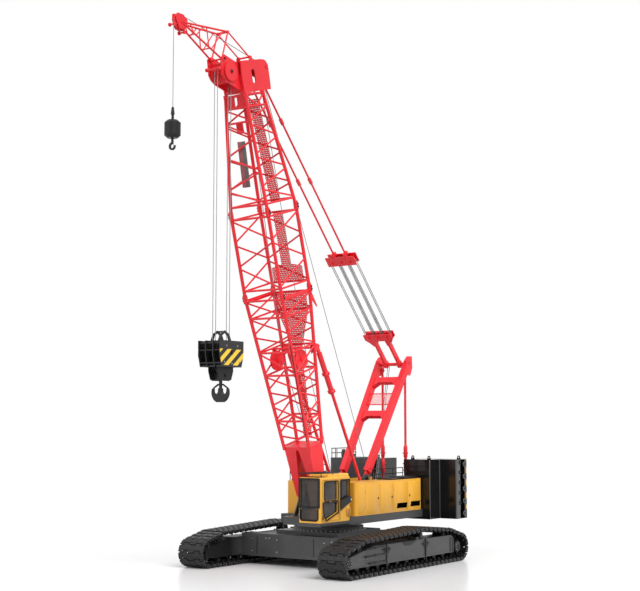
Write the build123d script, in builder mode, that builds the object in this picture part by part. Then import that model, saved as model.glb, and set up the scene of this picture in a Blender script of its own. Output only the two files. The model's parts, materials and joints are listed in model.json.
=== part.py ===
"""Lattice-boom crawler crane, parked with its boom raised and both hooks hanging.

Lengths are millimetres.  Every piece is laid out about the slewing axis: X is across the
machine with the cab on +X, the front is towards -Y and Z = 0 is the ground.  Finished pieces
are then moved along Y, so that the origin is the bottom centre of the whole machine.
"""
import os
from math import cos, radians, sin

from build123d import *

# ------------------------------------------------------------------ driving dimensions
running_gap = 0.3  # between faces that move or only meet
pin_gap = 0.05  # radial, between a pin and its bore

# Undercarriage
overall_width = 7600
shoe_width = 1200
shoe_count = 60
shoe_depth = 45
track_depth = 190
track_end_radius = 560
idler_y = -3970
sprocket_y = 3770
# tops of the carrier rollers that lift the upper run: y, top of the shoes
carrier_tops = ((-3050, 1345), (1250, 1500), (2960, 1350))
carrier_radius = 300
frame_width = 780
frame_bottom = 360
frame_front_y = -4080
frame_rear_y = 3450
frame_nose_top = 730
frame_shoulder_y = -2400
frame_top = 1040
frame_tail_drop = 90
ear_thickness = 50
wheel_width = 380
roller_radius = 120
roller_count = 10
roller_first_y = -3150
roller_last_y = 2950
axle_radius = 90
drive_hub_radius = 230
beam_front_y = -1900
beam_depth = 620
beam_bottom = 330
beam_top = 1190
carbody_half_width = 1450
wing_half_width = 2500
wing_thickness = 60
# lifting lugs on the wings, and their size
carbody_lugs = ((2300, 200), (2250, 1150))
carbody_lug_radius = 60
carbody_lug_height = 200
ring_radius = 1350
ring_base = 1330
ring_height = 150

# Upper frame
deck_bottom = 1610
deck_top = 1910
deck_half_width = 1650
deck_front_y = -900
deck_rear_y = 4380
spine_half_width = 620
spine_front_y = -2150
bracket_thickness = 40
side_gap = 6
platform_depth = 140
foot_pin_radius = 75
pylon_x = 625
pylon_thickness = 45
stay_pin_z = 3000
winch_ys = (150, 3350)
winch_cheek_top = 150
winch_cheek_thickness = 40
winch_radius = 330
winch_half_width = 400
winch_lift = 90

# Machinery houses
house_front_y = -550
house_rear_y = 4350
house_top = 3170
house_inner_x = 780
house_wall = 40
house_corner = 150
hood_front_y = 2450
hood_top = 4000
engine_size = (700, 2300, 900)
engine_y = 2800

# Operator's cab
cab_inner_x = 670
cab_outer_x = 1650
cab_front_y = -2950
cab_rear_y = -950
cab_floor = 1790
cab_top = 3440
cab_wall = 60
cab_corner = 90
window_corner = 50
door_gap = 5
hinge_radius = 18
hinge_out = 24
hinge_half_length = 75
door_knuckle_half = 25
hinge_pin_radius = 9
hinge_heights = (2120, 3120)
glass_thickness = 8
# openings in the cab's walls: low corner and high corner, as (across or y, height)
windscreen = ((760, 2380), (1560, 3350))
lower_windscreen = ((760, 1880), (1560, 2320))
doorway = ((-2870, 1850), (-1740, 3340))
quarter_window = ((-1660, 2560), (-1060, 3300))
inner_window = ((-2750, 2450), (-1250, 3300))
rear_window = ((800, 2500), (1520, 3250))
door_window = ((-2700, 2600), (-1840, 3270))
# the lower window of the door slants up to the rear: y, z
door_low_window = ((-2780, 2500), (-1840, 2500), (-1840, 2160), (-2580, 1910), (-2740, 2060))

# Counterweight
weight_bottom = 1500
weight_top = 3930
weight_front_y = 4400
weight_inner_x = 760
weight_step_x = 2000
weight_step_y = 5200
weight_outer_x = 2780
weight_rear_y = 6300
weight_base_depth = 330
weight_corner = 250
centre_weight_gap = 250
centre_weight_top = 2900
slab_count = 5
seam = 12
# lifting eyes on the outer side of each slab, and on the top
lift_eye_y = 5465
lift_eye_radius = 75
lift_eye_hole = 32
lift_eye_thickness = 40
lift_eye_reach = 70
top_lugs = ((860, 4960), (1850, 4600), (2600, 5760))
top_lug_height = 140
# across the lug, up from the counterweight's top
top_lug_outline = ((-90, -20), (90, -20), (40, 140), (-40, 140))
lift_eye_share = 0.72

# Boom, measured from its foot pin: along the boom, and half widths and depths at each station
foot_y = -1100
foot_z = 2450
boom_angle = 73.8
base_length = 8130
insert_length = 3140
top_length = 4380
leg_start = 250
leg_length = 2150
leg_gap = 60
leg_cap = 120
leg_foot_width = 150
leg_foot_radius = 190
foot_half_width = 480
foot_half_depth = 260
boom_half_width = 850
boom_half_depth = 900
head_half_width = 450
head_half_depth = 530
chord_radius = 65
frame_bar_radius = 42
lacing_radius = 34
frame_side_radius = 38
# frames across each section: along from the foot pin, and bays of lacing down to the next
base_frames = ((8036, 1), (7361, 2), (6018, 1), (5127, 3), (3316, 2))
insert_frames = ((11110, 3), (8430, 0))
top_frames = ((15130, 6), (11570, 0))
front_frame_along = 14600
front_frame_bays = 5
head_frame_along = 15570
end_plate = 25
end_plate_depth = 160
front_plate = 20
# slot in the front plate below the head: width, start and end along the boom
front_slot = (110, 15200, 15540)
walkway_thickness = 25
# walkways inside the rear face, one for each section: half width, along the boom
walkways = (
    ((225, 11500), (225, 15400)),
    ((700, 8390), (700, 9000), (225, 9100), (225, 11150)),
    ((190, 2450), (190, 5700), (260, 6000), (700, 7300), (700, 8080)),
)
guide_along = 5570
guide_x = 560
guide_radius = 380
guide_plate = 30
# plate that carries a guide sheave: back, along the boom
guide_hanger = ((-120, 6060), (120, 6060), (70, 5500), (-70, 5500))
# fins on the rear chords below the insert: back from the chord, along the boom
fin_outline = ((40, 7960), (110, 7960), (330, 7380), (300, 7330), (40, 7700))
fin_thickness = 30
collar_radius = 90
collar_length = 160
chord_inset = 20
head_plate = 50
# slot in each side plate of the head: back and up of its middle, width, length
head_slot = (130, 540, 190, 520)

# Places on the boom head: forward of the centre line, and up from the head's base
main_sheave_at = (1030, 790)
rear_sheave_at = (-1000, 830)
jib_foot_at = (1270, 1270)
jib_tip_at = (2960, 2650)
jib_apex_at = (660, 2210)
jib_link_at = (-360, 1260)
pendant_pin_at = (-950, 130)
main_sheave_radius = 380
rear_sheave_radius = 290
sheave_width = 90
sheave_flange = 25
sheave_spacing = 135
sheave_axle_radius = 60
guard_radius = 345
link_lug_x = 290
nose_half_width = 300
nose_plate = 40
jib_half_width = 240
jib_tip_half_width = 95
jib_tube = 36
jib_strut = 29
jib_stay = 27
jib_brace = 21
jib_cross_bar = 24
jib_apex_bar = 43
jib_apex_radius = 54
jib_tip_plate = 24
# share of the chords that stops short of the tip's axle
jib_tip_clear = 0.04
# braces of the jib's sides, as shares of the lower and the upper chord, and cross bars
jib_braces = ((0.27, 0.1), (0.33, 0.47), (0.65, 0.53), (0.71, 0.82))
jib_cross_bars = (0.3, 0.68)
jib_eye = 60
jib_eye_width = 50
# tip plates, from the tip's axle: backwards, up
jib_tip_outline = ((-200, -60), (-120, 190), (120, 240), (330, 60), (240, -200), (60, -260), (-120, -220))
jib_pin = 34
jib_sheave_radius = 300

# Gantry, back stays and suspension; the feet and the head are (y, z)
gantry_foot = (1700, 3230)
gantry_foot_x = 580
gantry_head = (4810, 7900)
gantry_head_x = 700
gantry_leg_width = 220
gantry_leg_depth = 290
gantry_lug = 300
gantry_eye_width = 40
gantry_eye_radius = 120
gantry_head_width = 120
gantry_pin_radius = 70
stay_pin_radius = 45
stay_pin_length = 110
# cross beams: distance along the legs, depth
gantry_crossbeams = ((3050, 260), (4750, 260))
gantry_knee = 190
gantry_beam_thickness = 210
# head plate, from the head pin: y, z
gantry_head_outline = ((-180, 130), (60, 330), (300, 330), (330, -150), (170, -480), (-130, -420))
back_stay_y = 4870
back_stay_x = 560
back_stay_radius = 50
back_stay_eye = 100
back_stay_neck = 200
stay_top_z = 7650
pendant_x = 280
pendant_radius = 38
pendant_eye_radius = 90
pendant_eye_width = 60
pendant_pin_radius = 40
pendant_joints = (0.2, 0.55)
bridle_along = 7750
bridle_half_width = 680
bridle_height = 430
bridle_plate = 40
bridle_depth = 240
bridle_link_width = 130
# the luffing ropes' sheaves: places across, radius, width, and their pins
rope_wheels_x = (-430, 0, 430)
rope_wheel_radius = 200
rope_wheel_width = 60
rope_pin_radius = 42
rope_pin_length = 340
sheave_arm_reach = 1330
sheave_arm_x = 330
sheave_arm_width = 90
# half of the sheave frame's cheek: across, and along from the gantry's head pin
bridle_start = 120
cheek_outline = ((0, 1400), (250, 1400), (285, 1120), (375, 1120), (520, 1330), (680, 1480),
                 (680, 1750), (0, 1750))
sheave_frame_wheel = 1600
bridle_wheel = 400

# Boom backstops
backstop_x = 690
backstop_pin_along = 5850
backstop_pin_back = 980
backstop_pin_radius = 45
backstop_foot = (1250, 3050)
backstop_eye_width = 80
backstop_eye_radius = 95
backstop_lug = 40
# lug, from the backstop's upper pin: backwards, along the boom
backstop_lug_outline = ((-330, -220), (-330, 220), (0, 85), (85, 0), (0, -85))
backstop_tube_radius = 105
backstop_rod_radius = 62
backstop_tube_length = 2050
backstop_neck = 300
backstop_rod_start = 620
backstop_play = 270
backstop_end_radius = 90
backstop_end_width = 60
backstop_end_length = 520

# Hook blocks: heights above the ground
block_half_width = 500
block_half_length = 650
block_top = 8300
block_bottom = 7380
block_plate = 40
block_plates_x = (-480, -165, 165, 480)
block_sheave_z = 7900
# guard above the block, from the falls' centre: y, height above the block
guard_outline = ((-360, 0), (-240, 250), (0, 380), (240, 250), (360, 0))
guard_opening = ((-230, 0), (-150, 190), (0, 290), (150, 190), (230, 0))
guard_x = 165
guard_bar_radius = 30
guard_bar_z = 335
trunnion_half_width = 190
trunnion_bottom = 6900
crosshead_low = 6960
crosshead_high = 7200
shank_radius = 60
shank_nut_radius = 110
shank_nut_height = 90
main_hook_bottom = 6160
main_hook_radius = 365
main_hook_thickness = 130
hook_mouth_z = 6640
hook_bowl_radius = 120
crosshead_half_length = 150
block_foot_inset = 200
block_foot = (60, 120)
hook_bowl_x = 190
hook_bowl_z = 6560
fall_radius = 14
aux_cone_top = 16150
aux_cone_bottom = 15900
aux_neck_radius = 45
aux_weight_top = 15700
aux_weight_bottom = 15080
aux_weight_radius = 280
aux_hook_bottom = 14660
aux_hook_radius = 140
aux_hook_depth = 62
aux_hook_thickness = 60
aux_shank_radius = 32
aux_socket = 200

# Handrails on the houses' roofs: x, front y, rear y, height, posts
rail_radius = 18
post_radius = 16
rail_runs = ((-1580, -400, 2100, 560, 4), (820, 1900, 4200, 420, 4))
# hoops on the engine's hood: x, front y, rear y, height
hood_hoops = ((-1560, 2490, 2760, 380), (-1560, 2860, 4280, 380))

# Guard above the cab's roof: y of its ends and posts, height, distance in from the cab's sides
roof_guard_ys = (-3030, -1650)
roof_guard_posts = (-2800, -2050)
roof_guard_height = 150
roof_guard_bars = 6
guard_inset = 60

# ------------------------------------------------------------------ derived positions
track_x = (overall_width - shoe_width) / 2
boom_lean = radians(boom_angle)
boom_plane = Plane(origin=(0, foot_y, foot_z), x_dir=(1, 0, 0), z_dir=(0, -cos(boom_lean), sin(boom_lean)))
boom_side = Plane(origin=(0, foot_y, foot_z), x_dir=(0, sin(boom_lean), cos(boom_lean)), z_dir=(1, 0, 0))
joint_one = base_length
joint_two = joint_one + insert_length
head_start = joint_two + top_length


def on_boom(x, back, along):
    """A point given across the boom, behind its centre line and along it from the foot pin."""
    return boom_plane.from_local_coords(Vector(x, back, along))


def on_head(x, forward_up):
    """A point across the boom's head, given forward of its centre line and up from its base."""
    forward, up = forward_up
    return on_boom(x, -forward, head_start + up)


main_axle = on_head(0, main_sheave_at)
jib_foot = on_head(0, jib_foot_at)
jib_tip = on_head(0, jib_tip_at)
pendant_pin = on_head(0, pendant_pin_at)
gantry_pin = Vector(0, *gantry_head)
backstop_pin = on_boom(0, backstop_pin_back, backstop_pin_along)
backstop_end = Vector(0, *backstop_foot)

aux_line_y = jib_tip.Y - jib_sheave_radius
front_end_y = aux_line_y - aux_weight_radius
machine_centre_y = (front_end_y + weight_rear_y) / 2


# ------------------------------------------------------------------ shared shapes
def bar(start, end, radius):
    """A round bar between two points."""
    reach = Vector(*end) - Vector(*start)
    return Solid.make_cylinder(radius, reach.length, Plane(origin=start, z_dir=reach))


def disc(centre, radius, width):
    """A wheel or pin whose axis lies across the machine, centred on a point."""
    return Solid.make_cylinder(radius, width, Plane(origin=Vector(*centre) - Vector(width / 2, 0, 0),
                                                    z_dir=(1, 0, 0)))


def plate(side, x, thickness, points):
    """A flat plate with its outline in a side view, from x to x + thickness."""
    with BuildSketch(side.offset(x)) as outline:
        with BuildLine():
            Polyline(*points, close=True)
        make_face()
    extrude(outline.sketch, amount=thickness)


def block(low, high):
    """A box between two opposite corners."""
    size = [b - a for a, b in zip(low, high)]
    return Solid.make_box(*size, Plane(origin=low))


def save(built, name):
    """Moves a finished piece to the machine's own origin, names it and writes it."""
    piece = built.part.moved(Location((0, -machine_centre_y, 0)))
    piece.label = name
    export_step(piece, f"parts/{name}.step")


def save_pair(built, name):
    """Writes a piece of the left side (+X), and its mirror image for the right side."""
    save(built, f"{name}_left")
    with BuildPart() as other:
        mirror(built.part, about=Plane.YZ)
    save(other, f"{name}_right")


os.makedirs("parts", exist_ok=True)

# ------------------------------------------------------------------ tracks
track_circles = [(idler_y, track_end_radius, track_end_radius)]
track_circles += [(y, top - carrier_radius, carrier_radius) for y, top in carrier_tops]
track_circles += [(sprocket_y, track_end_radius, track_end_radius)]
track_centre = Vector(0, 0, track_end_radius)


def track_loop(side, depth):
    """The closed loop, in side view, that lies the given depth inside the faces of the shoes."""
    with BuildSketch(side) as loop:
        for y, z, radius in track_circles:
            with Locations((y, z)):
                Circle(radius - depth)
        make_hull()
    return loop.sketch


def shoe_points(path):
    """The outline of all the shoes: each is a raised pad with a gap before the next."""
    points = []
    for shoe in range(shoe_count):
        # share of the pitch, depth below the face
        for share, depth in ((0.0, shoe_depth), (0.12, shoe_depth), (0.18, 0), (0.82, 0), (0.88, shoe_depth)):
            point = path.position_at((shoe + share) / shoe_count)
            along = path.tangent_at((shoe + share) / shoe_count)
            inward = Vector(0, -along.Z, along.Y)
            if inward.dot(track_centre - point) < 0:
                inward = -inward
            point += inward * depth
            points.append((point.Y, point.Z))
    return points


with BuildPart() as track:
    shoes_from = Plane.YZ.offset(track_x - shoe_width / 2)
    plate(Plane.YZ, track_x - shoe_width / 2, shoe_width,
          shoe_points(track_loop(Plane.YZ, 0).face().outer_wire()))
    extrude(track_loop(shoes_from, track_depth), amount=shoe_width, mode=Mode.SUBTRACT)
save_pair(track, "track")

# ------------------------------------------------------------------ track frames and wheels
wheel_radius = track_end_radius - track_depth - running_gap
wheel_room = wheel_radius + 50
slot_width = wheel_width + 2 * running_gap
frame_inner_x = track_x - frame_width / 2
slot_inner_x = track_x - slot_width / 2
slot_outer_x = track_x + slot_width / 2
roller_z = track_depth + running_gap + roller_radius
carrier_roller_radius = carrier_radius - track_depth - running_gap
frame_outline = (
    (frame_front_y, frame_bottom),
    (frame_rear_y, frame_bottom),
    (frame_rear_y, frame_top - frame_tail_drop),
    (frame_rear_y - 2.5 * frame_tail_drop, frame_top),
    (frame_shoulder_y, frame_top),
    (frame_front_y, frame_nose_top),
)
drive_arm = (
    (frame_rear_y - drive_hub_radius, frame_bottom),
    (sprocket_y + drive_hub_radius / 2, frame_bottom),
    (sprocket_y + drive_hub_radius, track_end_radius),
    (sprocket_y + drive_hub_radius / 2, track_end_radius + drive_hub_radius),
    (frame_rear_y - drive_hub_radius, frame_top - frame_tail_drop),
)
with BuildPart() as track_frame:
    plate(Plane.YZ, frame_inner_x, frame_width, frame_outline)
    with Locations((track_x, idler_y, track_end_radius), (track_x, sprocket_y, track_end_radius)):
        Box(slot_width, 2 * wheel_room, 4 * wheel_room, mode=Mode.SUBTRACT)
    add(block(
        (slot_inner_x, idler_y + wheel_room, 0),
        (slot_outer_x, sprocket_y - wheel_room, roller_z + roller_radius + 20),
    ), mode=Mode.SUBTRACT)
    plate(Plane.YZ, frame_inner_x, slot_inner_x - frame_inner_x, drive_arm)
    for y, top in carrier_tops:
        z = top - carrier_radius
        ear = ((y - 160, frame_top - 160), (y + 160, frame_top - 160), (y + 60, z + 60), (y - 60, z + 60))
        plate(Plane.YZ, slot_inner_x - ear_thickness, ear_thickness, ear)
        plate(Plane.YZ, slot_outer_x, ear_thickness, ear)
        room = carrier_roller_radius + 20
        if z - room < frame_top:
            add(block((slot_inner_x, y - room, z - room), (slot_outer_x, y + room, frame_top)),
                mode=Mode.SUBTRACT)
    add([disc((track_x, idler_y, track_end_radius), axle_radius, 2 * frame_width),
         disc((frame_inner_x, sprocket_y, track_end_radius), axle_radius, frame_width)], mode=Mode.SUBTRACT)
save_pair(track_frame, "track_frame")

axle_fit = axle_radius - pin_gap
with BuildPart() as idlers:
    add([disc((track_x, idler_y, track_end_radius), wheel_radius, wheel_width),
         disc((track_x, idler_y, track_end_radius), axle_fit, frame_width)])
    mirror(about=Plane.YZ)
save(idlers, "idlers")

with BuildPart() as sprockets:
    drive_end_x = track_x + frame_width / 2
    add([disc((track_x, sprocket_y, track_end_radius), wheel_radius, wheel_width),
         disc(((frame_inner_x + track_x) / 2, sprocket_y, track_end_radius), axle_fit,
              track_x - frame_inner_x),
         disc(((track_x + drive_end_x) / 2, sprocket_y, track_end_radius), drive_hub_radius,
              drive_end_x - track_x)])
    mirror(about=Plane.YZ)
save(sprockets, "drive_sprockets")

roller_step = (roller_last_y - roller_first_y) / (roller_count - 1)
with BuildPart() as rollers:
    add([disc((track_x, roller_first_y + n * roller_step, roller_z), roller_radius, wheel_width)
         for n in range(roller_count)])
    add([disc((track_x, y, top - carrier_radius), carrier_roller_radius, wheel_width)
         for y, top in carrier_tops])
    mirror(about=Plane.YZ)
save(rollers, "track_rollers")

# ------------------------------------------------------------------ carbody and slewing ring
beam_rear_y = beam_front_y + beam_depth
with BuildPart() as carbody:
    add([block((-frame_inner_x, beam_front_y, beam_bottom), (frame_inner_x, beam_rear_y, beam_top)),
         block((-frame_inner_x, -beam_rear_y, beam_bottom), (frame_inner_x, -beam_front_y, beam_top)),
         block((-carbody_half_width, beam_rear_y, beam_bottom), (carbody_half_width, -beam_rear_y, beam_top)),
         block((-wing_half_width, beam_rear_y, beam_top - wing_thickness),
               (wing_half_width, -beam_rear_y, beam_top)),
         block((-carbody_half_width, -carbody_half_width, beam_top),
               (carbody_half_width, carbody_half_width, ring_base))])
    for x, y in carbody_lugs:
        for side in (-1, 1):
            add(bar((side * x, y, beam_top - wing_thickness / 2),
                    (side * x, y, beam_top + carbody_lug_height), carbody_lug_radius))
save(carbody, "carbody")

race_top = ring_base + ring_height
with BuildPart() as slew_ring:
    with BuildSketch(Plane.XY.offset(ring_base)):
        Circle(ring_radius)
        Circle(ring_radius - 200, mode=Mode.SUBTRACT)
    extrude(amount=ring_height)
save(slew_ring, "slew_ring")

# ------------------------------------------------------------------ upper frame
leg_inner_x = foot_half_width - leg_foot_width
foot_bracket = (
    (foot_y - 520, deck_top),
    (foot_y + 620, deck_top),
    (foot_y + 170, foot_z + 130),
    (foot_y + 60, foot_z + 190),
    (foot_y - 60, foot_z + 190),
    (foot_y - 170, foot_z + 130),
)
pylon = (
    (backstop_end.Y - 350, deck_top),
    (gantry_foot[0] + 500, deck_top),
    (gantry_foot[0] + 160, gantry_foot[1] + 100),
    (gantry_foot[0], gantry_foot[1] + 180),
    (backstop_end.Y - 100, backstop_end.Z + 120),
    (backstop_end.Y - 180, backstop_end.Z - 80),
)
stay_bracket = (
    (back_stay_y - 1200, deck_top),
    (deck_rear_y, deck_top),
    (back_stay_y + 130, stay_pin_z - 300),
    (back_stay_y + 130, stay_pin_z + 130),
    (back_stay_y - 130, stay_pin_z + 130),
)
with BuildPart() as upper_frame:
    add([block((-deck_half_width, deck_front_y, deck_bottom), (deck_half_width, deck_rear_y, deck_top)),
         block((-spine_half_width, spine_front_y, deck_bottom), (spine_half_width, deck_front_y, deck_top)),
         block((spine_half_width, cab_front_y, cab_floor - platform_depth),
               (cab_outer_x, deck_front_y, cab_floor)),
         Solid.make_cylinder(ring_radius - 60, deck_bottom - race_top - running_gap,
                             Plane.XY.offset(race_top + running_gap))])
    for x in (leg_inner_x - side_gap - bracket_thickness, foot_half_width + side_gap):
        plate(Plane.YZ, x, bracket_thickness, foot_bracket)
        plate(Plane.YZ, -x - bracket_thickness, bracket_thickness, foot_bracket)
    for side in (-1, 1):
        add(disc((side * (leg_inner_x + foot_half_width) / 2, foot_y, foot_z), foot_pin_radius,
                 leg_foot_width + 2 * side_gap + 2 * bracket_thickness + 60))
        plate(Plane.YZ, side * pylon_x - pylon_thickness / 2, pylon_thickness, pylon)
        plate(Plane.YZ, side * pylon_x - pylon_thickness / 2, pylon_thickness, stay_bracket)
        pin_x = side * (pylon_x - stay_pin_length / 2)
        add([disc((pin_x, *gantry_foot), stay_pin_radius, stay_pin_length),
             disc((pin_x, back_stay_y, stay_pin_z), stay_pin_radius, stay_pin_length)])
save(upper_frame, "upper_frame")

# ------------------------------------------------------------------ machinery houses
with BuildPart() as house:
    add(block((house_inner_x, house_front_y, deck_top), (deck_half_width, house_rear_y, house_top)))
    outer_corners = house.edges().filter_by(Axis.Z).group_by(Axis.X)[-1]
    fillet(outer_corners, house_corner)
    offset(amount=-house_wall, openings=house.faces().sort_by(Axis.Z)[0])
save_pair(house, "house")

with BuildPart() as engine:
    engine_x = -(house_inner_x + deck_half_width) / 2
    with Locations((engine_x, engine_y, deck_top + engine_size[2] / 2)):
        Box(*engine_size)
save(engine, "engine")

with BuildPart() as hood:
    add(block((-deck_half_width + house_wall, hood_front_y, house_top),
              (-house_inner_x, house_rear_y, hood_top)))
    fillet(hood.edges().filter_by(Axis.Z), house_wall)
    offset(amount=-house_wall / 2, openings=hood.faces().sort_by(Axis.Z)[0])
save(hood, "engine_hood")

with BuildPart() as winches:
    for y in winch_ys:
        add(disc((0, y, deck_top + winch_radius + winch_lift), winch_radius, 2 * winch_half_width))
        for side in (-1, 1):
            cheek_top = deck_top + 2 * winch_radius + winch_lift
            cheek = ((y - winch_radius, deck_top), (y + winch_radius, deck_top),
                     (y + winch_cheek_top, cheek_top), (y - winch_cheek_top, cheek_top))
            plate(Plane.YZ, side * winch_half_width - winch_cheek_thickness / 2, winch_cheek_thickness, cheek)
save(winches, "winches")

# ------------------------------------------------------------------ operator's cab
def window(plane, low_corner, high_corner, corner, depth, pane=0):
    """Cuts a window with round corners through a wall, or makes its pane where a gap is given."""
    (low_u, low_v), (high_u, high_v) = low_corner, high_corner
    with BuildSketch(plane) as hole:
        with Locations(((low_u + high_u) / 2, (low_v + high_v) / 2)):
            RectangleRounded(high_u - low_u - 2 * pane, high_v - low_v - 2 * pane, corner - pane)
    extrude(hole.sketch, amount=depth, mode=Mode.ADD if pane else Mode.SUBTRACT)


def low_door_window(plane, depth, pane=0):
    """The slanted lower window of the door, or its pane where a gap is given."""
    with BuildSketch(plane) as hole:
        with BuildLine():
            Polyline(*door_low_window, close=True)
        make_face()
        fillet(hole.vertices(), window_corner)
        if pane:
            offset(amount=-pane)
    extrude(hole.sketch, amount=depth, mode=Mode.ADD if pane else Mode.SUBTRACT)


front_face = Plane(origin=(0, cab_front_y, 0), x_dir=(1, 0, 0), z_dir=(0, -1, 0))
rear_wall = Plane(origin=(0, cab_rear_y, 0), x_dir=(1, 0, 0), z_dir=(0, -1, 0))
outer_wall = Plane.YZ.offset(cab_outer_x - cab_wall)
inner_wall = Plane.YZ.offset(cab_inner_x)
front_wall = front_face.offset(-cab_wall)
# wall, opening, corner radius
cab_windows = (
    (front_wall, windscreen, window_corner),
    (front_wall, lower_windscreen, 2 * window_corner),
    (outer_wall, quarter_window, window_corner),
    (inner_wall, inner_window, window_corner),
    (rear_wall, rear_window, window_corner),
)
hinge_x = cab_outer_x + hinge_out
hinge_y = doorway[1][0] - door_gap / 2


def knuckle(z, low, high, side):
    """One knuckle of a door hinge and its foot: side -1 on the door, 1 on the cab's wall."""
    foot_ys = sorted((hinge_y + side * door_gap / 2, hinge_y + side * hinge_radius))
    return [bar((hinge_x, hinge_y, z + low), (hinge_x, hinge_y, z + high), hinge_radius),
            block((cab_outer_x, foot_ys[0], z + low), (hinge_x, foot_ys[1], z + high))]


with BuildPart() as cab:
    add(block((cab_inner_x, cab_front_y, cab_floor), (cab_outer_x, cab_rear_y, cab_top)))
    fillet(cab.edges().filter_by(Axis.Z), cab_corner)
    fillet(cab.faces().sort_by(Axis.Z)[-1].edges(), cab_corner / 2)
    add(block((cab_inner_x + cab_wall, cab_front_y + cab_wall, cab_floor + cab_wall),
              (cab_outer_x - cab_wall, cab_rear_y - cab_wall, cab_top - cab_wall)), mode=Mode.SUBTRACT)
    for wall, opening, corner in cab_windows:
        window(wall, *opening, corner, cab_wall)
    window(outer_wall, *doorway, window_corner, cab_wall)
    for z in hinge_heights:
        add(knuckle(z, -hinge_half_length, -door_knuckle_half - running_gap, 1))
        add(knuckle(z, door_knuckle_half + running_gap, hinge_half_length, 1))
        add(bar((hinge_x, hinge_y, z - hinge_half_length), (hinge_x, hinge_y, z + hinge_half_length),
                hinge_pin_radius))
save(cab, "cab_shell")

glass_inset = (cab_wall - glass_thickness) / 2
with BuildPart() as cab_glass:
    for wall, opening, corner in cab_windows:
        window(wall.offset(glass_inset), *opening, corner, glass_thickness, running_gap)
save(cab_glass, "cab_glass")

with BuildPart() as door:
    window(outer_wall, *doorway, window_corner, cab_wall, door_gap)
    window(outer_wall, *door_window, window_corner, cab_wall)
    low_door_window(outer_wall, cab_wall)
    for z in hinge_heights:
        add(knuckle(z, -door_knuckle_half, door_knuckle_half, -1))
        add(bar((hinge_x, hinge_y, z - hinge_half_length), (hinge_x, hinge_y, z + hinge_half_length),
                hinge_pin_radius + pin_gap), mode=Mode.SUBTRACT)
save(door, "cab_door")

with BuildPart() as door_glass:
    window(outer_wall.offset(glass_inset), *door_window, window_corner, glass_thickness, running_gap)
    low_door_window(outer_wall.offset(glass_inset), glass_thickness, running_gap)
save(door_glass, "door_glass")

# seat, side consoles and levers' stand: low corner, high corner
cab_middle_x = (cab_inner_x + cab_outer_x) / 2
cab_inside_z = cab_floor + cab_wall
seat_blocks = (
    ((cab_middle_x - 180, -1900, cab_inside_z), (cab_middle_x + 180, -1500, cab_inside_z + 300)),
    ((cab_middle_x - 260, -1980, cab_inside_z + 300), (cab_middle_x + 260, -1420, cab_inside_z + 440)),
    ((cab_middle_x - 250, -1560, cab_inside_z + 440), (cab_middle_x + 250, -1420, cab_inside_z + 1080)),
    ((cab_middle_x - 400, -2050, cab_inside_z), (cab_middle_x - 270, -1450, cab_inside_z + 560)),
    ((cab_middle_x + 270, -2050, cab_inside_z), (cab_middle_x + 400, -1450, cab_inside_z + 560)),
)
with BuildPart() as seat:
    add([block(low, high) for low, high in seat_blocks])
save(seat, "operator_seat")

# ------------------------------------------------------------------ counterweight
stack_bottom = weight_bottom + weight_base_depth
with BuildPart() as weight_base:
    add(block((-weight_outer_x, weight_step_y, weight_bottom), (weight_outer_x, weight_rear_y, stack_bottom)))
    add(block((-weight_step_x, deck_rear_y, weight_bottom), (weight_step_x, weight_step_y, stack_bottom)))
    fillet(weight_base.edges().filter_by(Axis.Z).group_by(Axis.Y)[-1], weight_corner)
save(weight_base, "counterweight_base")

with BuildPart() as stack:
    with BuildSketch(Plane.XY.offset(stack_bottom)) as slab:
        with BuildLine():
            Polyline(
                (weight_inner_x, weight_front_y), (weight_step_x, weight_front_y),
                (weight_step_x, weight_step_y),
                (weight_outer_x, weight_step_y), (weight_outer_x, weight_rear_y),
                (weight_inner_x, weight_rear_y),
                close=True,
            )
        make_face()
        rear_corner = slab.vertices().sort_by(Axis.X)[-2:].sort_by(Axis.Y)[-1:]
        fillet(rear_corner, weight_corner)
    slab_height = (weight_top - stack_bottom) / slab_count
    extrude(slab.sketch, amount=slab_height)
    with BuildSketch(Plane.XY) as joint:
        add(slab.sketch.moved(Location((0, 0, -stack_bottom))))
        offset(amount=-seam, kind=Kind.INTERSECTION)
    for n in range(1, slab_count):
        bottom = stack_bottom + n * slab_height
        extrude(joint.sketch.moved(Location((0, 0, bottom - seam / 2))), amount=seam)
        extrude(slab.sketch.moved(Location((0, 0, n * slab_height + seam / 2))), amount=slab_height - seam)
    eye_x = weight_outer_x + lift_eye_reach - lift_eye_radius
    for n in range(slab_count):
        eye_z = stack_bottom + (n + lift_eye_share) * slab_height
        eye_ends = [(eye_x, lift_eye_y + half * lift_eye_thickness, eye_z) for half in (-0.5, 0.5)]
        add(bar(*eye_ends, lift_eye_radius))
        add(bar(*eye_ends, lift_eye_hole), mode=Mode.SUBTRACT)
    for x, y in top_lugs:
        face = Plane(origin=(x, y, weight_top), x_dir=(1, 0, 0), z_dir=(0, -1, 0))
        plate(face, -lift_eye_thickness / 2, lift_eye_thickness, top_lug_outline)
        with BuildSketch(face.offset(-lift_eye_thickness / 2)) as hole:
            with Locations((0, top_lug_height / 2)):
                Circle(lift_eye_hole)
        extrude(hole.sketch, amount=lift_eye_thickness, mode=Mode.SUBTRACT)
save_pair(stack, "counterweight_stack")

with BuildPart() as centre_weight:
    add(block((-weight_inner_x, back_stay_y + centre_weight_gap, stack_bottom),
              (weight_inner_x, weight_rear_y, centre_weight_top)))
save(centre_weight, "counterweight_centre")

# ------------------------------------------------------------------ gantry and back stays
gantry_run = Vector(0, gantry_head[0] - gantry_foot[0], gantry_head[1] - gantry_foot[1])
gantry_unit = gantry_run.normalized()
gantry_length = gantry_run.length


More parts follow.
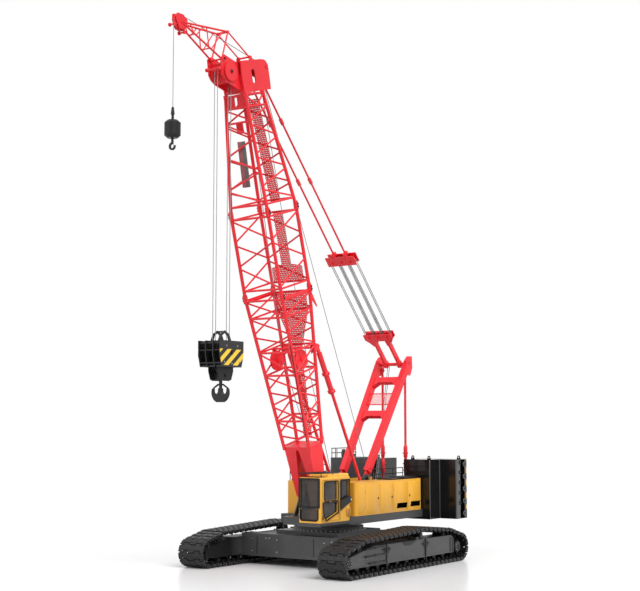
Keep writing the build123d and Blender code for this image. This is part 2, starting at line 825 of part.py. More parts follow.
def beam(start, end, width, depth):
    """A rectangular bar between two points, its width across the machine."""
    reach = Vector(*end) - Vector(*start)
    section = Plane(origin=start, x_dir=(1, 0, 0), z_dir=reach)
    corner = section.from_local_coords(Vector(-width / 2, -depth / 2, 0))
    return Solid.make_box(width, depth, reach.length,
                          Plane(origin=corner, x_dir=section.x_dir, z_dir=section.z_dir))


gantry_face = Plane(origin=(0, *gantry_foot), x_dir=(1, 0, 0), z_dir=Vector(1, 0, 0).cross(gantry_unit))
gantry_knee_x = gantry_foot_x - gantry_leg_width / 4


def on_gantry(x, along):
    """A point on the gantry's centre plane, along its legs from the foot pin."""
    return Vector(x, *gantry_foot) + gantry_unit * along


with BuildPart() as gantry:
    for side in (-1, 1):
        foot = on_gantry(side * gantry_foot_x, 0)
        top = on_gantry(side * gantry_head_x, gantry_length)
        add([beam(on_gantry(side * gantry_foot_x, gantry_lug), top, gantry_leg_width, gantry_leg_depth),
             beam(foot, on_gantry(side * gantry_foot_x, gantry_lug + 20), gantry_eye_width,
                  2 * gantry_eye_radius),
             disc(foot, gantry_eye_radius, gantry_eye_width)])
        cheek = [(gantry_pin.Y + y, gantry_pin.Z + z) for y, z in gantry_head_outline]
        plate(Plane.YZ, side * gantry_head_x - gantry_head_width / 2, gantry_head_width, cheek)
        add(disc((side * (gantry_head_x - stay_pin_length), back_stay_y, stay_top_z), stay_pin_radius,
                 2 * stay_pin_length))
    for along, depth in gantry_crossbeams:
        low, high = along - depth / 2, along + depth / 2
        plate(gantry_face, -gantry_beam_thickness / 2, gantry_beam_thickness, (
            (-gantry_foot_x, low - gantry_knee), (-gantry_knee_x, low - gantry_knee),
            (gantry_knee - gantry_knee_x, low),
            (gantry_knee_x - gantry_knee, low), (gantry_knee_x, low - gantry_knee),
            (gantry_foot_x, low - gantry_knee),
            (gantry_head_x, high), (-gantry_head_x, high)))
    add(disc(gantry_pin, gantry_pin_radius, 2 * gantry_head_x))
    add(disc((0, *gantry_foot), stay_pin_radius + pin_gap, 3 * gantry_foot_x), mode=Mode.SUBTRACT)
save(gantry, "gantry")

with BuildPart() as back_stays:
    for side in (-1, 1):
        x = side * back_stay_x
        low_z = stay_pin_z + back_stay_neck
        high_z = stay_top_z - back_stay_neck
        add(bar((x, back_stay_y, low_z), (x, back_stay_y, high_z), back_stay_radius))
        for pin_z, neck_z in ((stay_pin_z, low_z + 40), (stay_top_z, high_z - 40)):
            add([disc((x, back_stay_y, pin_z), back_stay_eye, gantry_eye_width),
                 beam((x, back_stay_y, pin_z), (x, back_stay_y, neck_z), gantry_eye_width,
                      2 * back_stay_radius)])
            add(disc((x, back_stay_y, pin_z), stay_pin_radius + pin_gap, 2 * gantry_eye_width),
                mode=Mode.SUBTRACT)
save(back_stays, "back_stays")

# ------------------------------------------------------------------ boom suspension
suspension = Plane(origin=pendant_pin, x_dir=(1, 0, 0), z_dir=gantry_pin - pendant_pin)
suspension_length = (gantry_pin - pendant_pin).length


def on_suspension(x, off, along):
    """A point across the suspension, off its line and along it from the pendants' top pin."""
    return suspension.from_local_coords(Vector(x, off, along))


suspension_face = Plane(origin=pendant_pin, x_dir=(1, 0, 0),
                        z_dir=Vector(1, 0, 0).cross(gantry_pin - pendant_pin))

with BuildPart() as pendants:
    for side in (-1, 1):
        x = side * pendant_x
        add([bar(on_suspension(x, 0, 0), on_suspension(x, 0, bridle_along), pendant_radius),
             disc(on_suspension(x, 0, 0), pendant_eye_radius, pendant_eye_width)])
        add([beam(on_suspension(x, 0, share * bridle_along - 130),
                  on_suspension(x, 0, share * bridle_along + 130),
                  2.6 * pendant_radius, 2.6 * pendant_radius) for share in pendant_joints])
    add(disc(pendant_pin, pendant_pin_radius + pin_gap, 4 * pendant_x), mode=Mode.SUBTRACT)
save(pendants, "pendants")

def rope_wheels(along):
    """The sheaves of the luffing ropes between two cheeks, with the pins that carry them."""
    for x in rope_wheels_x:
        for radius, length in ((rope_wheel_radius, rope_wheel_width), (rope_pin_radius, rope_pin_length)):
            add(bar(on_suspension(x, -length / 2, along), on_suspension(x, length / 2, along), radius))


with BuildPart() as bridle:
    add([beam(on_suspension(0, off, bridle_along + bridle_start),
              on_suspension(0, off, bridle_along + bridle_start + bridle_height),
              2 * bridle_half_width, bridle_plate) for off in (-bridle_depth / 2, bridle_depth / 2)])
    for side in (-1, 1):
        x = side * pendant_x
        add(beam(on_suspension(x, 0, bridle_along),
                 on_suspension(x, 0, bridle_along + bridle_start + bridle_plate), bridle_link_width,
                 bridle_depth))
    rope_wheels(bridle_along + bridle_wheel)
save(bridle, "bridle")

with BuildPart() as sheave_frame:
    half = [(x, suspension_length - reach) for x, reach in cheek_outline]
    for off in (-bridle_depth / 2, bridle_depth / 2):
        plate(suspension_face, off - bridle_plate / 2, bridle_plate,
              half + [(-x, along) for x, along in reversed(half[1:-1])])
    rope_wheels(suspension_length - sheave_frame_wheel)
    for side in (-1, 1):
        x = side * sheave_arm_x
        arm_start = suspension_length - sheave_arm_reach
        add([beam(on_suspension(x, 0, arm_start), on_suspension(x, 0, suspension_length), sheave_arm_width,
                  bridle_depth - bridle_plate),
             disc(on_suspension(x, 0, suspension_length), gantry_pin_radius + sheave_arm_width,
                  sheave_arm_width)])
    add(disc(gantry_pin, gantry_pin_radius + pin_gap, 2 * gantry_head_x), mode=Mode.SUBTRACT)
save(sheave_frame, "sheave_frame")

# ------------------------------------------------------------------ boom
def spread(along):
    """Half width and half depth between chord centres, at a distance along the boom."""
    # along, half width, half depth
    stations = (
        (0, foot_half_width, foot_half_depth),
        (joint_one, boom_half_width, boom_half_depth),
        (joint_two, boom_half_width, boom_half_depth),
        (head_start, head_half_width, head_half_depth),
    )
    for (low, width_low, depth_low), (high, width_high, depth_high) in zip(stations, stations[1:]):
        if along <= high:
            share = (along - low) / (high - low)
            return width_low + share * (width_high - width_low), depth_low + share * (depth_high - depth_low)
    return head_half_width, head_half_depth


def chord_point(side, face, along):
    """The centre of one chord: side -1 right or 1 left, face -1 front or 1 rear."""
    half_width, half_depth = spread(along)
    return on_boom(side * half_width, face * half_depth, along)


corners = ((-1, -1), (1, -1), (1, 1), (-1, 1))


def sheave(centre, radius):
    """A rope sheave: a wheel whose flanges stand out on both sides of its groove."""
    x = centre.X
    half = sheave_width / 2
    profile = ((x - half, 0), (x - half, radius + sheave_flange),
               (x - half / 2, radius + sheave_flange), (x - fall_radius - 4, radius),
               (x + fall_radius + 4, radius), (x + half / 2, radius + sheave_flange),
               (x + half, radius + sheave_flange), (x + half, 0))
    with BuildSketch(Plane(origin=(0, centre.Y, centre.Z), x_dir=(1, 0, 0), z_dir=(0, 1, 0))) as section:
        with BuildLine():
            Polyline(*profile, close=True)
        make_face()
    revolve(section.sketch, Axis((0, centre.Y, centre.Z), (1, 0, 0)))


def end_plates(along):
    """Deep plates in the boom's sides at a frame."""
    half_width, half_depth = spread(along)
    low, high = along - end_plate_depth / 2, along + end_plate_depth / 2
    outline = ((-half_depth, low), (half_depth, low), (half_depth, high), (-half_depth, high))
    for side in (-1, 1):
        plate(boom_side, side * half_width - end_plate / 2, end_plate, outline)


def frame_bars(along):
    """Four bars across the boom, joining the chords at one station."""
    across = [bar(chord_point(-1, face, along), chord_point(1, face, along),
                  frame_bar_radius) for face in (-1, 1)]
    back = [bar(chord_point(side, -1, along), chord_point(side, 1, along),
                frame_side_radius) for side in (-1, 1)]
    return across + back


# the four faces of the boom: the chord where the lacing starts at the top, the other one, and
# how far the bars stop from the nodes, so that bars in two faces never end in one point
boom_faces = (
    ((-1, -1), (1, -1), 44),
    ((-1, 1), (1, 1), 44),
    ((-1, 1), (-1, -1), 66),
    ((1, 1), (1, -1), 66),
)


def lacing(high, low, bays, faces):
    """Zigzag bars in some faces of the boom, from a frame down to the next one."""
    step = (high - low) / bays
    bars = []
    for first, second, clear in faces:
        for bay in range(bays):
            start, end = (second, first) if bay % 2 else (first, second)
            top = high - bay * step - clear
            bottom = high - (bay + 1) * step + clear
            bars.append(bar(chord_point(*start, top), chord_point(*end, bottom), lacing_radius))
    return bars


def laced_frames(frames, bottom):
    """The frames of a section, each with the lacing down to the next one."""
    shapes = []
    lows = [along for along, bays in frames[1:]] + [bottom]
    for (along, bays), low in zip(frames, lows):
        shapes += frame_bars(along)
        if bays:
            shapes += lacing(along, low, bays, boom_faces)
    return shapes


def rear_strip(outline):
    """A plate just inside the rear face of a section: its outline is across and along the boom."""
    first, last = min(along for x, along in outline), max(along for x, along in outline)
    low, high = [on_boom(0, spread(along)[1] - frame_bar_radius - running_gap, along)
                 for along in (first, last)]
    face = Plane(origin=low, x_dir=(1, 0, 0), z_dir=Vector(1, 0, 0).cross(high - low))
    plate(face, 0, walkway_thickness, [(x, along - first) for x, along in outline])


def chord_bars(start, end):
    """The four chords of a section, which stop inside the collars at its ends."""
    return [bar(chord_point(*corner, start + chord_inset), chord_point(*corner, end - chord_inset),
                chord_radius)
            for corner in corners]


def collar_bars(joint, reach):
    """The thick ends of the four chords, along the boom from the joint where sections are pinned."""
    along = boom_plane.z_dir * reach
    return [bar(chord_point(*corner, joint), chord_point(*corner, joint) + along,
                collar_radius) for corner in corners]


with BuildPart() as boom_base:
    for side in (-1, 1):
        with BuildSketch(boom_plane.offset(leg_start)) as foot_section:
            half_width, half_depth = spread(leg_start)
            with Locations((side * (half_width - leg_foot_width / 2), 0)):
                Rectangle(leg_foot_width, 2 * half_depth)
        with BuildSketch(boom_plane.offset(leg_length)) as top_section:
            half_width, half_depth = spread(leg_length)
            with Locations((side * (half_width + leg_gap) / 2, 0)):
                Rectangle(half_width - leg_gap, 2 * half_depth)
        loft([foot_section.sketch.face(), top_section.sketch.face()])
        eye_x = side * (foot_half_width - leg_foot_width / 2)
        add([disc((eye_x, foot_y, foot_z), leg_foot_radius, leg_foot_width),
             beam(on_boom(eye_x, 0, 0), on_boom(eye_x, 0, leg_start + 20), leg_foot_width,
                  1.6 * leg_foot_radius)])
    half_width, half_depth = spread(leg_length)
    add(beam(on_boom(0, 0, leg_length), on_boom(0, 0, leg_length + leg_cap), 2 * half_width, 2 * half_depth))
    add(chord_bars(leg_length, joint_one))
    add(collar_bars(joint_one, -collar_length))
    add(laced_frames(base_frames, leg_length + leg_cap))
    add(disc((0, foot_y, foot_z), foot_pin_radius + pin_gap, 3 * foot_half_width), mode=Mode.SUBTRACT)
    end_plates(base_frames[0][0])
    fin_x, fin_back = spread(fin_outline[-1][1])
    for side in (-1, 1):
        plate(boom_side, side * (fin_x + fin_thickness / 2) - fin_thickness / 2, fin_thickness,
              [(fin_back + back, along) for back, along in fin_outline])
        plate(boom_side, side * (guide_x + sheave_width / 2) - guide_plate / 2, guide_plate, guide_hanger)
        sheave(on_boom(side * guide_x, 0, guide_along), guide_radius - sheave_flange)
        add(disc(on_boom(side * guide_x, 0, guide_along), sheave_axle_radius, sheave_width + 3 * guide_plate))
    hanger_frame = base_frames[2][0]
    add(disc(on_boom(0, 0, hanger_frame), frame_bar_radius, 2 * spread(hanger_frame)[0]))
    for side in (-1, 1):
        lug = [(backstop_pin_back + u, backstop_pin_along + v) for u, v in backstop_lug_outline]
        for x in (-backstop_eye_width / 2 - side_gap - backstop_lug, backstop_eye_width / 2 + side_gap):
            plate(boom_side, side * backstop_x + x, backstop_lug, lug)
        add(disc(Vector(side * backstop_x, 0, 0) + backstop_pin, backstop_pin_radius,
                 backstop_eye_width + 2 * backstop_lug))
    add(bar(chord_point(-1, 1, backstop_pin_along), chord_point(1, 1, backstop_pin_along), frame_bar_radius))
save(boom_base, "boom_base")

with BuildPart() as boom_insert:
    add(chord_bars(joint_one, joint_two))
    add(collar_bars(joint_one, collar_length))
    add(collar_bars(joint_two, -collar_length))
    add(laced_frames(insert_frames, joint_one))
save(boom_insert, "boom_insert")

with BuildPart() as boom_top:
    add(chord_bars(joint_two, head_start))
    add(collar_bars(joint_two, collar_length))
    add(collar_bars(head_start, -collar_length))
    (high_frame, bays), (low_frame, _) = top_frames
    for along in (head_frame_along, high_frame, low_frame):
        add(frame_bars(along))
    add(lacing(high_frame, low_frame, bays, boom_faces[1:]))
    # the front face has one more frame, and a slotted plate where the ropes come out
    add(bar(chord_point(-1, -1, front_frame_along), chord_point(1, -1, front_frame_along), frame_bar_radius))
    add(lacing(high_frame, front_frame_along, 1, boom_faces[:1]))
    add(lacing(front_frame_along, low_frame, front_frame_bays, boom_faces[:1]))
    for side in (-1, 1):
        middle = (chord_point(side, -1, high_frame) + chord_point(side, 1, high_frame)) / 2
        add([bar(chord_point(side, face, head_frame_along - lacing_radius), middle,
                 lacing_radius) for face in (-1, 1)])
    plate_ends = [on_boom(0, -spread(along)[1], along) for along in (high_frame, head_frame_along)]
    add(beam(*plate_ends, 2 * head_half_width, front_plate))
    slot_width, slot_low, slot_high = front_slot
    slot_ends = [on_boom(0, -spread(along)[1], along) for along in (slot_low, slot_high)]
    add(beam(*slot_ends, slot_width, 3 * front_plate), mode=Mode.SUBTRACT)
save(boom_top, "boom_top")

with BuildPart() as boom_walkway:
    for edge in walkways:
        rear_strip([*edge, *[(-x, along) for x, along in reversed(edge)]])
save(boom_walkway, "boom_walkway")

# ------------------------------------------------------------------ boom head
# outlines on the head: back from the centre line, up from its base
side_outline = ((-560, 0), (-580, 560), (-500, 1130), (720, 1130), (1120, 900), (1090, 300), (1060, 0))
nose_outline = ((-200, 60), (-530, 60), (-1250, 420), (-1500, 760), (-1420, 1330), (-1180, 1420),
                (-560, 1100), (-200, 1100))
link_lug = ((260, 1120), (460, 1120), (420, 1300), (300, 1300))
# middle of each cross plate backwards and upwards, then its depth and height
head_cross_plates = ((0, 20, 1120, 40), (110, 1110, 1220, 40), (-520, 300, 40, 600), (-250, 620, 600, 40))


def head_shape(outline):
    """An outline on the head, as backwards and along the boom."""
    return [(back, head_start + up) for back, up in outline]


def cross_plate(back, up, depth, height):
    """A plate that joins the head's side plates: its middle, and its size in side view."""
    return beam(on_head(0, (-back, up - height / 2)), on_head(0, (-back, up + height / 2)),
                2 * head_half_width, depth)


with BuildPart() as head:
    for side in (-1, 1):
        plate(boom_side, side * head_half_width - head_plate / 2, head_plate, head_shape(side_outline))
        slot_back, slot_up, slot_across, slot_long = head_slot
        with BuildSketch(boom_side.offset(side * head_half_width - head_plate)) as slot:
            with Locations((slot_back, head_start + slot_up)):
                RectangleRounded(slot_across, slot_long, 0.49 * slot_across)
        extrude(slot.sketch, amount=2 * head_plate, mode=Mode.SUBTRACT)
        plate(boom_side, side * nose_half_width - nose_plate / 2, nose_plate, head_shape(nose_outline))
        plate(boom_side, side * link_lug_x - nose_plate / 2, nose_plate, head_shape(link_lug))
    add([cross_plate(*place) for place in head_cross_plates])
    for at, radius, reach in ((jib_foot_at, jib_pin, nose_half_width), (jib_link_at, jib_pin, link_lug_x),
                              (pendant_pin_at, pendant_pin_radius, head_half_width)):
        add(disc(on_head(0, at), radius, 2 * reach))
    for at in (main_sheave_at, rear_sheave_at):
        add(disc(on_head(0, at), sheave_axle_radius + pin_gap, 3 * head_half_width), mode=Mode.SUBTRACT)
save(head, "boom_head")

# sheave place on the head, its radius at the rope's centre, its places across, length of the axle
sheave_groups = (
    (main_sheave_at, main_sheave_radius, (-1.5, -0.5, 0.5, 1.5), 2 * nose_half_width + 240),
    (rear_sheave_at, rear_sheave_radius, (-0.5, 0.5, 2.2), 2 * head_half_width + head_plate + 60),
)
with BuildPart() as head_sheaves:
    for at, radius, places, axle_length in sheave_groups:
        for place in places:
            sheave(on_head(place * sheave_spacing, at), radius - fall_radius - running_gap)
        add(disc(on_head(0, at), sheave_axle_radius, axle_length))
    for side in (-1, 1):
        add(disc(on_head(side * (nose_half_width + 70), main_sheave_at), guard_radius, 60))
save(head_sheaves, "head_sheaves")

# ------------------------------------------------------------------ jib
def jib_point(side, at, half_width):
    """A point on one side of the jib."""
    return on_head(side * half_width, at)


def between(start, end, share):
    """A point part of the way along a line."""
    return start + (end - start) * share


with BuildPart() as jib:
    for side in (-1, 1):
        foot = jib_point(side, jib_foot_at, jib_half_width)
        tip = jib_point(side, jib_tip_at, jib_tip_half_width)
        apex = jib_point(side, jib_apex_at, jib_half_width)
        link = jib_point(side, jib_link_at, jib_half_width)
        near_tip = 1 - jib_tip_clear
        add([bar(foot, between(foot, tip, near_tip), jib_tube),
             bar(apex, between(apex, tip, near_tip), jib_tube),
             bar(foot, apex, jib_strut), bar(apex, link, jib_stay), disc(foot, jib_eye, jib_eye_width),
             disc(link, jib_eye, jib_eye_width), disc(apex, jib_apex_radius, jib_eye_width)])
        add([bar(between(foot, tip, low), between(apex, tip, high), jib_brace) for low, high in jib_braces])
        tip_x = side * jib_tip_half_width
        outline = [(-jib_tip_at[0] + back, head_start + jib_tip_at[1] + up) for back, up in jib_tip_outline]
        plate(boom_side, tip_x - jib_tip_plate / 2, jib_tip_plate, outline)
    for share in jib_cross_bars:
        low_points = [between(jib_point(s, jib_foot_at, jib_half_width),
                              jib_point(s, jib_tip_at, jib_tip_half_width), share)
                      for s in (-1, 1)]
        add(bar(*low_points, jib_cross_bar))
    add(bar(jib_point(-1, jib_apex_at, jib_half_width), jib_point(1, jib_apex_at, jib_half_width),
            jib_apex_bar))
    add([disc(jib_foot, jib_pin + pin_gap, 3 * jib_half_width),
         disc(on_head(0, jib_link_at), jib_pin + pin_gap, 3 * jib_half_width),
         disc(jib_tip, jib_pin + pin_gap, 3 * jib_half_width)], mode=Mode.SUBTRACT)
save(jib, "jib")

with BuildPart() as jib_sheave:
    sheave(jib_tip, jib_sheave_radius - fall_radius - running_gap)
    add(disc(jib_tip, jib_pin, 2 * jib_tip_half_width + 80))
save(jib_sheave, "jib_sheave")

# ------------------------------------------------------------------ boom backstops
stop_run = backstop_end - backstop_pin
stop_unit = stop_run.normalized()
with BuildPart() as backstop_tubes:
    for side in (-1, 1):
        top = Vector(side * backstop_x, 0, 0) + backstop_pin
        add([disc(top, backstop_eye_radius, backstop_eye_width),
             beam(top, top + stop_unit * (backstop_neck + 20), backstop_eye_width, 1.5 * backstop_eye_radius),
             bar(top + stop_unit * backstop_neck, top + stop_unit * backstop_tube_length,
                 backstop_tube_radius)])
        add([bar(top + stop_unit * (backstop_rod_start - backstop_play),
                 top + stop_unit * (backstop_tube_length + 10),
                 backstop_rod_radius + pin_gap),
             disc(top, backstop_pin_radius + pin_gap, 2 * backstop_eye_width)], mode=Mode.SUBTRACT)
save(backstop_tubes, "backstop_tubes")

with BuildPart() as backstop_rods:
    for side in (-1, 1):
        top = Vector(side * backstop_x, 0, 0) + backstop_pin
        end = Vector(side * backstop_x, 0, 0) + backstop_end
        add([bar(top + stop_unit * backstop_rod_start, end - stop_unit * backstop_end_length,
                 backstop_rod_radius),
             beam(end - stop_unit * (backstop_end_length + 20), end, backstop_end_width,
                  1.2 * backstop_end_radius),
             disc(end, backstop_end_radius, backstop_end_width)])
save(backstop_rods, "backstop_rods")

# ------------------------------------------------------------------ main hook block
block_y = main_axle.Y
with BuildPart() as main_falls:
    for x in (-sheave_spacing / 2, sheave_spacing / 2):
        for y in (block_y - main_sheave_radius, block_y + main_sheave_radius):
            add(bar((x, y, block_sheave_z), (x, y, main_axle.Z), fall_radius))
save(main_falls, "main_falls")

block_outline = (
    (block_y - block_half_length, block_top),
    (block_y + block_half_length, block_top),
    (block_y + block_half_length, block_bottom + 400),
    (block_y + block_half_length - 110, block_bottom),
    (block_y - block_half_length + 110, block_bottom),
    (block_y - block_half_length, block_bottom + 400),
)
with BuildPart() as hook_block:
    for x in block_plates_x:
        plate(Plane.YZ, x - block_plate / 2, block_plate, block_outline)
    for x in (-sheave_spacing / 2, sheave_spacing / 2):
        sheave(Vector(x, block_y, block_sheave_z), main_sheave_radius - fall_radius - running_gap)
    add(disc((0, block_y, block_sheave_z), sheave_axle_radius, 2 * block_half_width))
    foot_reach = block_half_length - block_foot_inset
    for y in (block_y - foot_reach, block_y + foot_reach):
        add(beam((0, y, block_bottom), (0, y, block_bottom + block_foot[0]), 2 * block_half_width,
                 block_foot[1]))
    for side in (-1, 1):
        guard_from = side * guard_x - block_plate / 2
        plate(Plane.YZ, guard_from, block_plate, [(block_y + y, block_top + up) for y, up in guard_outline])
        with BuildSketch(Plane.YZ.offset(guard_from)) as opening:
            with BuildLine():
                Polyline(*[(block_y + y, block_top + up) for y, up in guard_opening], close=True)
            make_face()
        extrude(opening.sketch, amount=block_plate, mode=Mode.SUBTRACT)
        plate(Plane.YZ, side * trunnion_half_width - block_plate / 2, block_plate, (
            (block_y - 330, block_bottom + 100), (block_y + 330, block_bottom + 100),
            (block_y + 240, trunnion_bottom), (block_y - 240, trunnion_bottom)))
    add(disc((0, block_y, block_top + guard_bar_z), guard_bar_radius, 2 * guard_x))
    add(block((-trunnion_half_width, block_y - crosshead_half_length, crosshead_low),
              (trunnion_half_width, block_y + crosshead_half_length, crosshead_high)))
    add(bar((0, block_y, crosshead_low - 50), (0, block_y, crosshead_high + 50),
            shank_radius + pin_gap), mode=Mode.SUBTRACT)
save(hook_block, "hook_block")

hook_side = Plane(origin=(0, block_y, 0), x_dir=(1, 0, 0), z_dir=(0, -1, 0))
with BuildPart() as main_hook:
    with BuildSketch(hook_side.offset(-main_hook_thickness / 2)) as horns:
        with Locations((0, main_hook_bottom + main_hook_radius - 25)):
            Circle(main_hook_radius)
        with Locations((0, main_hook_bottom - main_hook_radius)):
            Rectangle(2 * main_hook_radius, 2 * main_hook_radius, mode=Mode.SUBTRACT)
        with Locations((0, hook_mouth_z + main_hook_radius)):
            Rectangle(2 * main_hook_radius, 2 * main_hook_radius, mode=Mode.SUBTRACT)
        for side in (-1, 1):
            with Locations((side * hook_bowl_x, hook_bowl_z)):
                Circle(hook_bowl_radius, mode=Mode.SUBTRACT)
            with Locations((side * hook_bowl_x, hook_bowl_z + hook_bowl_radius)):
                Rectangle(2 * hook_bowl_radius, 2 * hook_bowl_radius, mode=Mode.SUBTRACT)
    extrude(horns.sketch, amount=main_hook_thickness)
    add([bar((0, block_y, hook_bowl_z - 100),
             (0, block_y, crosshead_high + running_gap + shank_nut_height), shank_radius),
         bar((0, block_y, crosshead_high + running_gap),
             (0, block_y, crosshead_high + running_gap + shank_nut_height),
             shank_nut_radius)])
save(main_hook, "main_hook")

# ------------------------------------------------------------------ auxiliary hook
with BuildPart() as aux_line:
    add(bar((0, aux_line_y, aux_cone_top), (0, aux_line_y, jib_tip.Z), fall_radius))
save(aux_line, "aux_line")

# heights and radii of the ball's turned outline
aux_profile = (
    (0, aux_weight_bottom), (180, aux_weight_bottom), (aux_weight_radius, aux_weight_bottom + 90),
    (aux_weight_radius, aux_weight_top - 90), (180, aux_weight_top), (aux_neck_radius, aux_weight_top),
    (aux_neck_radius, aux_cone_bottom), (70, aux_cone_bottom), (40, aux_cone_top - running_gap),
    (0, aux_cone_top - running_gap),
)
aux_axis = Axis((0, aux_line_y, 0), (0, 0, 1))
with BuildPart() as aux_weight:
    with BuildSketch(Plane(origin=(0, aux_line_y, 0), x_dir=(1, 0, 0), z_dir=(0, -1, 0))) as section:
        with BuildLine():
            Polyline(*aux_profile, close=True)
        make_face()
    revolve(section.sketch, aux_axis)
    add(bar((0, aux_line_y, aux_weight_bottom - 1), (0, aux_line_y, aux_weight_bottom + aux_socket),
            aux_shank_radius + pin_gap),
        mode=Mode.SUBTRACT)
save(aux_weight, "aux_weight")

with BuildPart() as aux_hook:
    hook_plane = Plane(origin=(0, aux_line_y, 0), x_dir=(1, 0, 0),
                       z_dir=(0, -1, 0)).offset(-aux_hook_thickness / 2)
    centre_z = aux_hook_bottom + aux_hook_radius
    with BuildSketch(hook_plane) as crook:
        with Locations((0, centre_z)):
            Circle(aux_hook_radius)
            Circle(aux_hook_radius - aux_hook_depth, mode=Mode.SUBTRACT)
        with Locations((aux_hook_radius / 2 + 20, centre_z + aux_hook_radius / 2 + 20)):
            Rectangle(aux_hook_radius, aux_hook_radius, mode=Mode.SUBTRACT)
        with Locations((0, (centre_z + aux_hook_radius + aux_weight_bottom) / 2 - 40)):
            Rectangle(2 * aux_shank_radius, aux_weight_bottom - centre_z - aux_hook_radius + 80)
    extrude(crook.sketch, amount=aux_hook_thickness)
    add(bar((0, aux_line_y, aux_weight_bottom - 110),
            (0, aux_line_y, aux_weight_bottom + aux_socket - running_gap), aux_shank_radius))
save(aux_hook, "aux_hook")

# ------------------------------------------------------------------ handrails
with BuildPart() as handrails:
    for x, front, rear, height, posts in rail_runs:
        step = (rear - front) / (posts - 1)
        add([bar((x, front + n * step, house_top), (x, front + n * step, house_top + height),
                 post_radius) for n in range(posts)])
        add([bar((x, front - rail_radius, house_top + level * height),
                 (x, rear + rail_radius, house_top + level * height),
                 rail_radius) for level in (0.5, 1.0)])
    for x, front, rear, height in hood_hoops:
        top = hood_top + height
        add([bar((x, y, hood_top), (x, y, top), post_radius) for y in (front, rear)])
        add([bar((x, front - rail_radius, level), (x, rear + rail_radius, level), rail_radius)
             for level in (top, (hood_top + top) / 2)])
save(handrails, "handrails")

# ------------------------------------------------------------------ cab fittings
with BuildPart() as cab_fittings:
    guard_xs = (cab_inner_x + guard_inset, cab_outer_x - guard_inset)
    guard_z = cab_top + roof_guard_height
    front_y, rear_y = roof_guard_ys
    for x in guard_xs:
        add(bar((x, front_y - rail_radius, guard_z), (x, rear_y + rail_radius, guard_z), rail_radius))
        add([bar((x, y, cab_top + running_gap), (x, y, guard_z), post_radius) for y in roof_guard_posts])
    for n in range(roof_guard_bars):
        y = front_y + n * (rear_y - front_y) / (roof_guard_bars - 1)
        add(bar((guard_xs[0], y, guard_z), (guard_xs[1], y, guard_z), post_radius))
save(cab_fittings, "cab_fittings")
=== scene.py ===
"""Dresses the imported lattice-boom crawler crane: finishes, ropes, fittings and a plain studio.

Everything is in metres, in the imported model's own frame.  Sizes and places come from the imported
nodes' boxes and the joints' positions.
"""
import json
import math

import bmesh
import bpy
from bpy.props import FloatProperty, FloatVectorProperty, IntProperty, PointerProperty
from mathutils import Matrix, Vector
from mathutils.geometry import convex_hull_2d


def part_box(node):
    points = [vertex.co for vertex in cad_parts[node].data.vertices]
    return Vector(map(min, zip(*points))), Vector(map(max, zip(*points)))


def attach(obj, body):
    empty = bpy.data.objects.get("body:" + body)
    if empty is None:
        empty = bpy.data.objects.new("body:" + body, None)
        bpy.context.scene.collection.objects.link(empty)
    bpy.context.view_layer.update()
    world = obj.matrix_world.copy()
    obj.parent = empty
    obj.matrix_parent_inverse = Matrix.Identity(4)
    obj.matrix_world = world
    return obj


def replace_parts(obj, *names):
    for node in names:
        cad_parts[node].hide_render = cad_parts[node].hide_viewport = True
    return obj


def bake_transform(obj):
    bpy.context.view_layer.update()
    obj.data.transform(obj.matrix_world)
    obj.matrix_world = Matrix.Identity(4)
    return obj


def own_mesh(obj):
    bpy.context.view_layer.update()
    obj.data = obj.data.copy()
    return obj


bl_info = {
    "name": "Crawler crane dressing",
    "version": (1, 0, 0),
    "blender": (4, 5, 0),
    "location": "3D View > Sidebar > Crane",
    "description": "Finishes, ropes and fittings for a lattice-boom crawler crane",
    "category": "Object",
}

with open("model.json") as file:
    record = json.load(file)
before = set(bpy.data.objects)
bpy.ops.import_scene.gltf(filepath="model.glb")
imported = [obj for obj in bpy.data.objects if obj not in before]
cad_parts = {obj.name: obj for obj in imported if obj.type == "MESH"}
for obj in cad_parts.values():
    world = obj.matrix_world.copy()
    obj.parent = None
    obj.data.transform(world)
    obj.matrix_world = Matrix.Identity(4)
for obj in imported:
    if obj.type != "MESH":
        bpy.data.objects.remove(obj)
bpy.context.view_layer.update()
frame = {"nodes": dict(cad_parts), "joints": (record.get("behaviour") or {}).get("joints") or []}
JOINTS = {joint["name"]: joint for joint in frame["joints"]}
X_AXIS, Y_AXIS, Z_AXIS = Vector((1, 0, 0)), Vector((0, 1, 0)), Vector((0, 0, 1))
SIDES = (-1, 1)


def joint_at(name):
    """Where a joint turns."""
    return Vector(JOINTS[name]["pos_m"])


BOOM_FOOT = joint_at("boom_luff")
BOOM_LEAN = math.radians(73.8)
ALONG = Vector((0, -math.cos(BOOM_LEAN), math.sin(BOOM_LEAN)))
BACK = Vector((0, math.sin(BOOM_LEAN), math.cos(BOOM_LEAN)))
HEAD_AXLE = joint_at("main_line_swing")
JIB_TIP = joint_at("aux_line_swing")
SLEW_Y = joint_at("slew").y

PENDANT_PIN = joint_at("pendant_pivot")
GANTRY_PIN = joint_at("luffing_sheaves_pivot")
SUSPENSION = (GANTRY_PIN - PENDANT_PIN).normalized()
SUSPENSION_SIDE = SUSPENSION.cross(X_AXIS)


def on_boom(x, back, along):
    """A point across the boom, behind its centre line and along it from the foot pin."""
    return BOOM_FOOT + X_AXIS * x + BACK * back + ALONG * along


def on_machine(x, y, z):
    """A point given from the slewing axis."""
    return Vector((x, SLEW_Y + y, z))


def on_face(x):
    """A way to give points on a side face: back from the slewing axis, up, and out of the face."""
    return lambda y, z, out=0.0: on_machine(x + out, y, z)


# along the boom from its foot pin: where the sections meet and where the head starts
SECTION_JOINTS = (8.13, 11.27)
HEAD_START = 15.65
# middle of the head's rear sheaves
REAR_AXLE = on_boom(0, 1.0, HEAD_START + 0.83)

